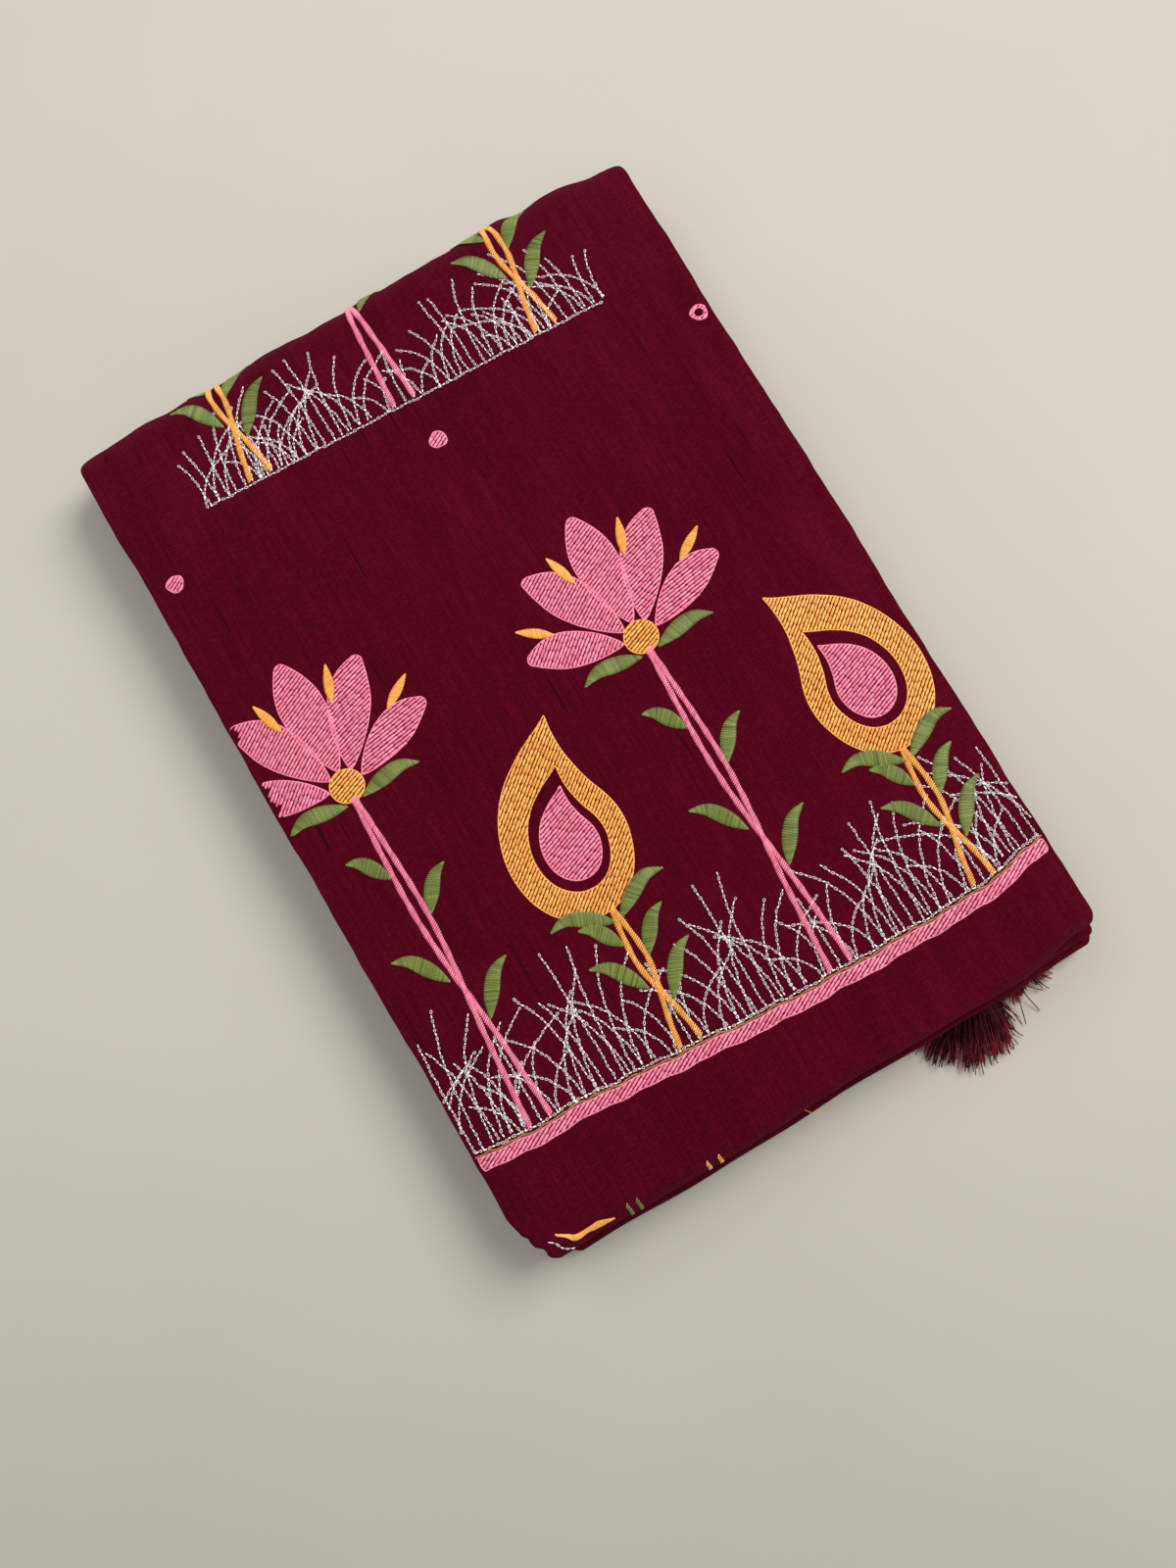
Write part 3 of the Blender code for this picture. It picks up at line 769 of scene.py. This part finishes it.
def sprayRow(row, baseOf):
    for places, tallest, count, inward, beyond in sprays[row]:
        for x in places:
            fountain(x, baseOf(x), tallest, count, -inward * np.sign(x) if abs(x) > beyond else 0.0)


def nearBase(x):
    return bandMiddleY(x) + band["rowAt"]


def embroiderNearRow():
    # Pink band, thin rust line and white chain, with plants and sprays standing on them
    across = np.linspace(-band["ends"], band["ends"], 90)
    wavy = 0.35 * np.sin(across * 0.21 + 1) + 0.25 * np.sin(across * 0.47)
    middle = bandMiddleY(across) + wavy
    upper, lower = (np.stack([across, middle + side * band["halfWidth"]], 1) for side in (1, -1))
    fill("pinkThread", np.concatenate([upper, lower[::-1]]), needle["fillAngle"])
    stem("rustThread", list(zip(across, middle + band["rustAt"] + 0.3 * np.sin(across * 1.3))), 0.5)
    chain("whiteThread", list(zip(across, middle + band["chainAt"])), band["chainWidth"])
    for index, x in enumerate(plants["nearX"]):
        plant(index, x, nearBase(x), 1 if index < 2 else -1)
    sprayRow("near", nearBase)


def farBase(x):
    return plants["farMiddleY"] + plants["farSlant"] * x


def embroiderFarRow():
    # The next repeat starts near the far fold and runs over it
    half = plants["farHalfWidth"]
    chain("whiteThread", [(x, farBase(x)) for x in np.linspace(1 - half, half, 40)], band["chainWidth"])
    for index, x in enumerate(plants["farX"]):
        plant(index + 1, x, farBase(x) + 1.0, -1 if index < 2 else 1)
    sprayRow("far", lambda x: farBase(x) + 0.5)


dots = ((-125.7, 141.8, False), (4.0, 138.7, False), (131.0, 129.9, True))   # x, y, worked as a ring


def embroiderDots():
    angles = np.linspace(0, 2 * math.pi, 40, endpoint=False)

    def ring(x, y, wide, high):
        return np.stack([x + wide * np.cos(angles), y + high * np.sin(angles)], 1)
    for x, y, hollow in dots:
        uneven = 1 + 0.07 * np.sin(3 * angles + x) + 0.04 * np.sin(5 * angles)
        holes = [ring(x, y, 2.7, 2.3)] if hollow else []
        fill("pinkThread", ring(x, y, 3.9 * uneven, 3.6 * uneven), needle["fillAngle"], *holes)


def embroiderTips():
    # Tips of the row before, which show where the cloth turns over at the near end
    ribbon = smoothLine([(-99.2, -183.8), (-105.8, -182.9), (-111.5, -182.7), (-117, -182.6),
                         (-121.1, -181.7), (-125.6, -177.7)])
    widths = np.interp(np.linspace(0, 1, len(ribbon)), (0, 0.22, 0.48, 0.78, 1), (0.3, 1.65, 1.0, 1.35, 0.6))
    noteStitches(stitchBook, "ochreThread", satinAcross(ribbon, widths), needle["satinWidth"], 0.3)
    for x, y, thread in ((-91.8, -186.4, "greenThread"), (-87.3, -186.4, "greenThread"),
                         (-54.8, -188.0, "ochreThread"), (-49.3, -188.0, "ochreThread")):
        stem(thread, [(x, y - 1.5), (x + 0.3, y + 1.8), (x + 0.1, y + 4.4)], 1.5)
    chain("whiteThread", [(-131.5, -178), (-129, -182.5), (-124.5, -186.5)], 0.8, 0.1)


def stitchShape(name):
    # One stitch of unit size: a low thread with both ends diving into the cloth
    vertices = [(-0.5, 0, -0.2)]
    for x, fat in ((-0.44, 0.72), (-0.22, 1.0), (0.22, 1.0), (0.44, 0.72)):
        vertices += [(x, -0.5 * fat, -0.15), (x, -0.25 * fat, 0.9 * fat), (x, 0.25 * fat, 0.9 * fat),
                     (x, 0.5 * fat, -0.15)]
    vertices.append((0.5, 0, -0.2))
    faces = []
    for j in range(4):
        k = (j + 1) % 4
        faces += [(0, 1 + j, 1 + k), (17, 13 + k, 13 + j)]
        faces += [(r + j, r + 4 + j, r + 4 + k, r + k) for r in (1, 5, 9)]
    return faceOutwards(meshObject(name, vertices, faces))


def linkShape(name, sides=8):
    # One chain stitch of unit size: a thread loop, narrow at its start
    vertices, faces = [], []
    for i in range(sides):
        a = 2 * math.pi * i / sides
        centre = Vector((-0.43 * math.cos(a), 0.38 * math.sin(a) * (1 - 0.30 * math.cos(a)), 0.30))
        k = (i + 1) % sides
        for b in range(3):
            turn = math.radians(90 + 120 * b)
            vertices.append(centre + Vector((-0.08 * math.cos(a) * math.cos(turn),
                                             0.18 * math.sin(a) * math.cos(turn), 0.42 * math.sin(turn))))
            c = (b + 1) % 3
            faces.append((3 * i + b, 3 * k + b, 3 * k + c, 3 * i + c))
    return faceOutwards(meshObject(name, vertices, faces))


def threaded(tree, geometry, start, end):
    # The end of a tree: its geometry takes on the thread's material
    coloured = nodeOf(tree, "GeometryNodeSetMaterial", {"Geometry": geometry, "Material": start["Thread"]})
    tree.links.new(coloured.outputs[0], end[0])
    return tree


def stitchTree():
    # Lays one shape at every point, turned and sized by what is stored there
    inputs = {"Geometry": "Geometry", "Stitch": "Object", "Plumpness": "Float", "Thread": "Material"}
    tree, start, end = newTree("layStitches", "GeometryNodeTree", inputs, {"Geometry": "Geometry"})

    def stored(name):
        return nodeOf(tree, "GeometryNodeInputNamedAttribute", {"Name": name},
                      data_type="FLOAT_VECTOR").outputs[0]
    shape = nodeOf(tree, "GeometryNodeObjectInfo", {"Object": start["Stitch"]})
    turned = nodeOf(tree, "FunctionNodeAxesToRotation", {0: stored("along"), 1: stored("up")},
                    primary_axis="X", secondary_axis="Z")
    plump = nodeOf(tree, "ShaderNodeCombineXYZ", {0: 1.0, 1: start["Plumpness"], 2: start["Plumpness"]})
    size = nodeOf(tree, "ShaderNodeVectorMath", {0: stored("size"), 1: plump.outputs[0]},
                  operation="MULTIPLY")
    placed = nodeOf(tree, "GeometryNodeInstanceOnPoints", {
        "Points": start["Geometry"], "Instance": shape.outputs["Geometry"], "Rotation": turned.outputs[0],
        "Scale": size.outputs[0]})
    real = nodeOf(tree, "GeometryNodeRealizeInstances", {0: placed.outputs[0]})
    return threaded(tree, real.outputs[0], start, end)


def worked(made, tree, values):
    # Runs a tree of Geometry Nodes on an object, and makes the result its own plain mesh
    modifier = made.modifiers.new("worked", "NODES")
    modifier.node_group = tree
    for item in tree.interface.items_tree:
        if item.in_out == "INPUT" and item.name in values:
            modifier[item.identifier] = values[item.name]
    graph = bpy.context.evaluated_depsgraph_get()
    data = bpy.data.meshes.new_from_object(made.evaluated_get(graph))
    made.modifiers.clear()
    made.data = data
    data.shade_smooth()
    return made


def store(data, name, kind, values):
    field = "value" if kind == "FLOAT" else "vector"
    data.attributes.new(name, kind, "POINT").data.foreach_set(field, np.ravel(values))


stitchEnds = {"near": -0.1935, "far": 0.2430, "sides": 0.1369}   # where the embroidery stops


def layStitches(name, stitches, shape, tree, thread):
    table = np.array(stitches) * 0.001
    along, across = table[:, [1, 3]], np.abs(table[:, [0, 2]]).max(1)
    inside = (along.max(1) < stitchEnds["far"]) & (along.min(1) > stitchEnds["near"])
    table = table[inside & (across < stitchEnds["sides"])]
    x0, v0, x1, v1, wide, thick, lift = table.T

    def spot(x, v, height=0.0):
        return onCloth(outer, nearFolds["upper"], x, v, height)
    starts, ends = spot(x0, v0, lift), spot(x1, v1, lift)
    x, v, step = (x0 + x1) / 2, (v0 + v1) / 2, 0.0004
    up = np.cross(spot(x + step, v) - spot(x - step, v), spot(x, v + step) - spot(x, v - step))
    up /= np.linalg.norm(up, axis=1)[:, None]
    reach = np.linalg.norm(ends - starts, axis=1)
    points = meshObject(name, (starts + ends) / 4 + spot(x, v, lift) / 2)
    store(points.data, "along", "FLOAT_VECTOR", ends - starts)
    store(points.data, "up", "FLOAT_VECTOR", up)
    store(points.data, "size", "FLOAT_VECTOR", np.stack([reach, wide, thick], 1))
    store(points.data, "shade", "FLOAT", dice.normal(0.5, 0.20, len(table)).clip(0, 1))
    made = worked(points, tree, {"Stitch": shape, "Plumpness": needle["plumpness"], "Thread": thread})
    for key in ("along", "up", "size"):
        if key in made.data.attributes:
            made.data.attributes.remove(made.data.attributes[key])
    return made


embroiderNearRow()
embroiderFarRow()
embroiderDots()
embroiderTips()
oneStitch, oneLink, stitching = stitchShape("oneStitch"), linkShape("oneLink"), stitchTree()
for book, shape, ending in ((stitchBook, oneStitch, "Stitches"), (chainBook, oneLink, "ChainStitches")):
    for thread, stitches in book.items():
        piece = layStitches(thread.replace("Thread", ending), stitches, shape, stitching, threads[thread])
        finishPiece(piece, threads[thread])
        print(piece.name, len(stitches), "stitches", len(piece.data.polygons), "faces")
    bpy.data.objects.remove(shape)

# The hidden layers: strips of four plies stacked inside, whose folded edges show along the two long
# sides, and what fills the two lower near folds
hidden = {
    "strips": 7,
    "stripMarks": (0.02, 0.12, 0.27, 0.43, 0.5, 0.57, 0.73, 0.88, 0.98),   # ranks of points down a strip
    "firstDepth": 0.0021,
    "lastDepth": 0.0154,
    "sideGap": 0.0005,
    "bump": 0.0010,        # how round a strip's folded edge is
    "wander": 0.0007,
    "leftSet": (0.0002, 0.0011, 0.0, 0.0008, 0.0003, 0.0014, 0.0006),
    "rightSet": (0.0009, 0.0001, 0.0012, 0.0004, 0.0010, 0.0, 0.0007),
    "rowStep": 0.0026,
    "endGap": 0.0006,
    "hemCover": 0.0040,
    "fillingInset": 0.0010,
    "fillings": (("second", -0.1458), ("third", -0.1508)),
}


def foldInside(name):
    centre, radius = foldNose(name)
    return centre, radius - packet["plies"] - packet["gap"]


def nearEndAt(z):
    # How far the hidden layers reach towards the near end at a height
    centre, inner = foldInside("upper")
    if abs(z - centre[1]) < inner:
        return centre[0] - math.sqrt(inner ** 2 - (z - centre[1]) ** 2)
    if z < 0.0041:
        return packet["hemY"] + hidden["hemCover"]
    if z < 0.0066:
        return thirdLowerTailY + hidden["endGap"]
    fold = "third" if z < nearFolds["third"]["top"] else "upper"
    return nearFolds[fold]["tailY"] + hidden["endGap"]


def bumpInset(u, folds):
    # How far a strip's edge draws in at the place u of its height
    u = (np.asarray(u) * folds) % 1.0
    return hidden["bump"] / folds * (1 - np.sqrt(np.maximum(1 - (2 * u - 1) ** 2, 0)))


def stackMesh(spots, rows, ranks, columns):
    # A closed solid: rows run along it, ranks down its height and columns across. spots gives the
    # places of whole arrays of (row, rank, column).
    ring = [(0, j) for j in range(columns)] + [(i, columns - 1) for i in range(1, ranks)]
    ring += [(ranks - 1, j) for j in range(columns - 2, -1, -1)] + [(i, 0) for i in range(ranks - 2, 0, -1)]
    ringRank, ringColumn = np.array(ring).T
    row = np.repeat(np.arange(rows), len(ring))
    vertices = [spots(row, np.tile(ringRank, rows), np.tile(ringColumn, rows))]
    faces = tubeFaces(rows, len(ring))
    total = rows * len(ring)
    rank, column = np.repeat(np.arange(ranks), columns), np.tile(np.arange(columns), ranks)
    for row in (0, rows - 1):
        vertices.append(spots(np.full(len(rank), row), rank, column))
        corners = [total + i * columns + j for i in range(ranks - 1) for j in range(columns - 1)]
        faces += [(k, k + 1, k + columns + 1, k + columns) for k in corners]
        total += len(rank)
    return np.concatenate(vertices), faces


def settledAt(x, y, z, fold):
    z = z + relief(x, y) * np.maximum(z - farRadius, 0) / farRadius
    return np.stack(settle(spreadAcross(x, y, fold), y, z), -1)


def hiddenStack():
    strips, stripMarks = hidden["strips"], hidden["stripMarks"]
    thickness = (hidden["lastDepth"] - hidden["firstDepth"]) / strips
    strip = np.repeat(np.arange(strips), len(stripMarks))
    within = np.tile(stripMarks, strips)
    depths = hidden["firstDepth"] + (strip + within) * thickness
    flat = int((farCentreY + 0.18) / hidden["rowStep"])
    marks = np.concatenate([np.linspace(0, 1, flat), np.linspace(1, 2, 18)[1:], np.linspace(2, 3, flat)[1:]])
    wander = np.array([[waves(50 + 2 * k + side, 0.015, 0.30)(marks * 0.37) for k in range(strips)]
                       for side in (0, 1)])
    setIn = np.array([hidden["leftSet"], hidden["rightSet"]])
    topEnds = np.array([nearEndAt(packet["height"] - d) for d in depths])
    bottomEnds = np.array([nearEndAt(d) for d in depths])
    across = np.linspace(-1, 1, 13)

    def spots(row, rank, column):
        # A mark below 1 is on the top, from 1 to 2 round the far bend, above 2 on the bottom
        mark, depth, k, u = marks[row], depths[rank], strip[rank], within[rank]
        angle = math.pi * np.clip(mark - 1, 0, 1)
        radius = farRadius - depth
        y = farCentreY + radius * np.sin(angle)
        y = np.where(mark < 1, topEnds[rank] + (farCentreY - topEnds[rank]) * mark, y)
        y = np.where(mark > 2, farCentreY + (bottomEnds[rank] - farCentreY) * (mark - 2), y)
        z = farRadius + radius * np.cos(angle)
        side = (across[column] > 0).astype(int)
        half = packet["halfWidth"] - hidden["sideGap"] - setIn[side, k]
        half = half - hidden["wander"] * (0.5 + 0.5 * wander[side, k, row])
        half = half - np.where(side > 0, bumpInset(u, 2), bumpInset(u, 1))
        spot = np.empty((len(row), 3))
        for name, low, high in (("third", -1, 0.0105), ("second", 0.0105, 0.0174), ("upper", 0.0174, 1)):
            here = (z > low) & (z <= high)
            spot[here] = settledAt((across[column] * half)[here], y[here], z[here], nearFolds[name])
        return spot
    return stackMesh(spots, len(marks), len(depths), len(across))


def foldFilling(name, tailY):
    centre, inner = foldInside(name)
    heights = np.linspace(-0.92, 0.92, 9) * inner
    starts = centre[0] - np.sqrt(inner ** 2 - heights ** 2)
    marks = np.linspace(0, 1, 16)
    right, left = (waves(81 + len(name) + side, 0.01, 0.1) for side in (1, -1))

    def spots(row, rank, column):
        y = starts[rank] + (tailY - starts[rank]) * marks[row]
        part = column / 6 - 1
        uneven = 0.0006 * np.where(part > 0, right(y), left(y))
        half = packet["halfWidth"] - hidden["fillingInset"] - uneven - bumpInset((rank + 0.5) / 9, 2)
        return settledAt(part * half, y, centre[1] + heights[rank], nearFolds[name])
    return stackMesh(spots, len(marks), len(heights), 13)


vertices, faces = hiddenStack()
for name, tailY in hidden["fillings"]:
    more, polygons = foldFilling(name, tailY)
    faces += [tuple(len(vertices) + k for k in polygon) for polygon in polygons]
    vertices = np.concatenate([vertices, more])
innerLayers = faceOutwards(meshObject("innerLayers", vertices, faces))
finishPiece(innerLayers, innerSilkPaintedShade, ["hidden_layers"])
print("hidden layers", len(innerLayers.data.polygons))

# The tassels: loose cut threads that fan out over the floor
tassels = {
    # Each tuft: root (x, y), spread of the roots, direction and fan in degrees, lengths in metres,
    # how many locks, how red their ends are
    "tassel_left": (
        ((0.0825, -0.1812), 0.0048, -124, 31, (0.034, 0.040), 44, 0.55),
        ((0.0835, -0.1812), 0.0040, -100, 14, (0.029, 0.036), 16, 0.60),
        ((0.0850, -0.1815), 0.0025, -86, 8, (0.022, 0.028), 9, 1.0),
        ((0.0838, -0.1815), 0.0020, -106, 6, (0.026, 0.030), 5, 0.95),
    ),
    "tassel_right": (
        ((0.0985, -0.1815), 0.0040, -103, 15, (0.014, 0.020), 15, 0.9),
        ((0.1000, -0.1815), 0.0035, -78, 12, (0.014, 0.021), 10, 0.75),
        ((0.1010, -0.1812), 0.0030, -47, 10, (0.0195, 0.0245), 9, 0.85),
    ),
}
singles = {
    # Threads that stray: direction in degrees, length, how far they curl
    "tassel_left": ((-149, 0.036, 14), (-143, 0.040, -10), (-97, 0.036, 20), (-92, 0.035, -16),
                    (-80, 0.034, 30), (-76, 0.026, -70), (-84, 0.035, 12), (-113, 0.041, 8)),
    "tassel_right": ((-82, 0.0275, 12), (-57, 0.0245, -8), (-44, 0.0240, 10), (-96, 0.0290, -14),
                     (-70, 0.0230, 50)),
}
threadLook = {"radius": 0.00027, "rings": 9, "arch": 0.0040, "seed": 7, "perLock": (4, 7)}


def threadLine(start, direction, length, curl, heights, shades):
    # One thread's centre line, with a shade at each point: dark along the bunch as painted shade, and
    # lighter towards the end where it lies loose in the light
    x, y = start
    line = []
    count = threadLook["rings"]
    for ring in range(count):
        t = ring / (count - 1)
        z = heights[0] + (heights[2] - heights[0]) * t + heights[1] * math.sin(math.pi * t) * (1 - 0.4 * t)
        line.append(((x, y, max(z, 0.0004)), shades[0] + shades[1] * float(smoothStep(t, 0.70, 0.96))))
        turn = math.radians(direction + curl * (t - 0.3))
        x += math.cos(turn) * length / (count - 1)
        y += math.sin(turn) * length / (count - 1)
    return line


def tasselLines(tufts, strays, chance):
    # Centre lines of a tassel's threads. They lie in locks, with gaps between them.
    lines = []
    for root, rootSpread, direction, fan, lengths, locks, redness in tufts:
        for lock in range(locks):
            lean = (2 * lock + 1) / locks - 1 + chance.normal(0, 0.05)
            length = chance.uniform(*lengths) * (1 - 0.12 * lean * lean)
            height, arch = chance.uniform(0.0010, 0.0034), threadLook["arch"] * chance.uniform(0.1, 1.0)
            curl, tipHeight = chance.normal(0, 15), chance.uniform(0.0004, 0.0032)
            for _ in range(chance.integers(*threadLook["perLock"])):
                start = (root[0] + rootSpread * lean + chance.uniform(-0.0006, 0.0006),
                         root[1] + chance.uniform(-0.001, 0.001))
                # Most threads stay dark to their ends, painted shade in the bunch; the others get lighter
                # ends
                red = redness * chance.uniform(0.5, 1.2) if chance.uniform() < 0.25 + 0.5 * redness else 0.04
                lines.append(threadLine(start, direction + fan * lean + chance.normal(0, 2.4),
                                        length * chance.uniform(0.86, 1.03), curl + chance.normal(0, 5),
                                        (height, arch, tipHeight + chance.uniform(0, 0.0008)),
                                        (chance.uniform(-0.13, 0.03), red)))
    for direction, length, curl in strays:
        heights = (0.002, 0.003, chance.uniform(0.0006, 0.0020))
        # Dark near the root as painted shade, lighter towards the end
        shades = (0.05, chance.uniform(0.1, 0.6))
        lines.append(threadLine(tufts[0][0], direction, length, curl, heights, shades))
    return lines


def threadTree():
    # Round threads along a mesh's edges
    inputs = {"Geometry": "Geometry", "Radius": "Float", "Sides": "Int", "Thread": "Material"}
    tree, start, end = newTree("spinThreads", "GeometryNodeTree", inputs, {"Geometry": "Geometry"})
    curves = nodeOf(tree, "GeometryNodeMeshToCurve", {"Mesh": start["Geometry"]})
    circle = nodeOf(tree, "GeometryNodeCurvePrimitiveCircle",
                    {"Resolution": start["Sides"], "Radius": start["Radius"]})
    spun = nodeOf(tree, "GeometryNodeCurveToMesh", {"Curve": curves.outputs[0], "Fill Caps": True,
                                                    "Profile Curve": circle.outputs["Curve"]})
    return threaded(tree, spun.outputs[0], start, end)


def spunThreads(name, lines, tree, thread, radius, sides=3):
    # Each line is a list of (place, shade)
    points, edges, shades = [], [], []
    for line in lines:
        edges += [(len(points) + i, len(points) + i + 1) for i in range(len(line) - 1)]
        points += [spot for spot, _ in line]
        shades += [shade for _, shade in line]
    made = meshObject(name, points, edges=edges)
    store(made.data, "shade", "FLOAT", shades)
    return worked(made, tree, {"Radius": radius, "Sides": sides, "Thread": thread})


spinning = threadTree()
tasselPieces = []
chance = np.random.default_rng(threadLook["seed"])
for name, tufts in tassels.items():
    lines = tasselLines(tufts, singles[name], chance)
    piece = spunThreads(name.replace("tassel_", "threadsOf"), lines, spinning, threads["tasselThread"],
                        threadLook["radius"])
    tasselPieces.append(finishPiece(piece, threads["tasselThread"], [name]))
    print(piece.name, len(piece.data.polygons))

# A thread end that hangs out at the near edge
loose = smoothLine([(-8.5, -189.5), (-5, -193.6), (0.5, -195.2), (4.5, -193.2)], 0.6)
looseLine = [((x * 0.001, y * 0.001, 0.0125 - 0.0015 * i / len(loose)), 0.6)
             for i, (x, y) in enumerate(loose)]
looseEnd = spunThreads("looseThread", [looseLine], spinning, threads["ochreThread"], 0.00016, 5)
finishPiece(looseEnd, threads["ochreThread"])

# The length of cloth that each stretch shows along its line
onTop = [o for o in bpy.data.objects if o.name.endswith("titches")] + tasselPieces
cuts = ((outerCloth, outer, innerLayers, onTop), (secondCloth, second, thirdCloth, ()),
        (thirdCloth, third, outerCloth, (looseEnd,)))
for cloth, line, below, going in cuts:
    length = float(line["v"][-1] - line["v"][0])
    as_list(going)
    print("sheet", cloth.name, round(length, 3))

# The camera and the light of the photograph, and a plain pale floor
view = {
    "place": (-0.0307, -0.0701, 0.5266),
    "forward": (0.0280, 0.0912, -0.9954),
    "up": (0.5097, 0.8553, 0.0927),
    "lens": 27.045,        # millimetres, on a sensor 36 high
    "sensor": 36.0,
}
floorLook = {
    "size": 3.2,
    "below": 0.0002,
    "dark": (0.513, 0.483, 0.427, 1), "light": (0.564, 0.534, 0.479, 1),
    "patches": 5.0,
    # Painted shade: a little darker towards the picture's lower edge, where the light falls off
    "fade": {"From Min": -0.40, "From Max": -0.14, "To Min": 0.85, "To Max": 1.0},
    "finish": {"Roughness": 0.9, "Specular IOR Level": 0.1},
}
lights = [
    # name, place, aims at, size, watts, colour
    ("key", (1.90, 0.54, 2.10), (0, 0, 0), 1.7, 72.5, (1.0, 0.985, 0.96)),
    ("top", (-0.45, 1.50, 1.60), (-0.30, 0.45, 0), 1.3, 10.5, (0.98, 0.99, 1.0)),
]
room = {"Color": (0.99, 0.985, 0.97, 1), "Strength": 0.456}


def makeCamera():
    data = bpy.data.cameras.new("camera")
    data.lens, data.sensor_width, data.sensor_fit = view["lens"], view["sensor"], "AUTO"
    data.clip_start = 0.02
    camera = inScene("camera", data)
    back = -Vector(view["forward"]).normalized()
    right = Vector(view["up"]).cross(back).normalized()
    turned = Matrix((right, back.cross(right), back)).transposed().to_4x4()
    camera.matrix_world = Matrix.Translation(view["place"]) @ turned
    bpy.context.scene.camera = camera


def makeFloor():
    bpy.ops.mesh.primitive_grid_add(x_subdivisions=8, y_subdivisions=8, size=floorLook["size"])
    floor = bpy.context.object
    floor.name = "floor"
    floor.location.z = -floorLook["below"]
    material, tree, place = newMaterial("paleFloor")
    patches = noise(tree, place, floorLook["patches"], 3.0)
    base = blended(tree, patches, floorLook["dark"], floorLook["light"])
    # Painted shade: the floor's colour is scaled down towards the picture's lower edge
    along = nodeOf(tree, "ShaderNodeVectorMath", {0: place, 1: view["up"]}, operation="DOT_PRODUCT")
    fade = nodeOf(tree, "ShaderNodeMapRange", {"Value": along.outputs["Value"], **floorLook["fade"]})
    shaded = nodeOf(tree, "ShaderNodeVectorMath", {0: base, "Scale": fade.outputs[0]}, operation="SCALE")
    dress(tree, shaded.outputs[0], floorLook["finish"])
    floor.data.materials.append(material)


def makeLights():
    for name, place, target, size, watts, colour in lights:
        data = bpy.data.lights.new(name, "AREA")
        data.shape, data.size, data.energy, data.color = "DISK", size, watts, colour
        light = inScene(name, data)
        light.location = place
        light.rotation_euler = (Vector(place) - Vector(target)).to_track_quat("Z", "Y").to_euler()
    world = bpy.data.worlds.new("studio")
    bpy.context.scene.world = world
    world.use_nodes = True
    for key, value in room.items():
        world.node_tree.nodes["Background"].inputs[key].default_value = value
    bpy.context.scene.view_settings.view_transform = "Standard"


makeCamera()
makeFloor()
makeLights()
print("camera, floor and lights set")
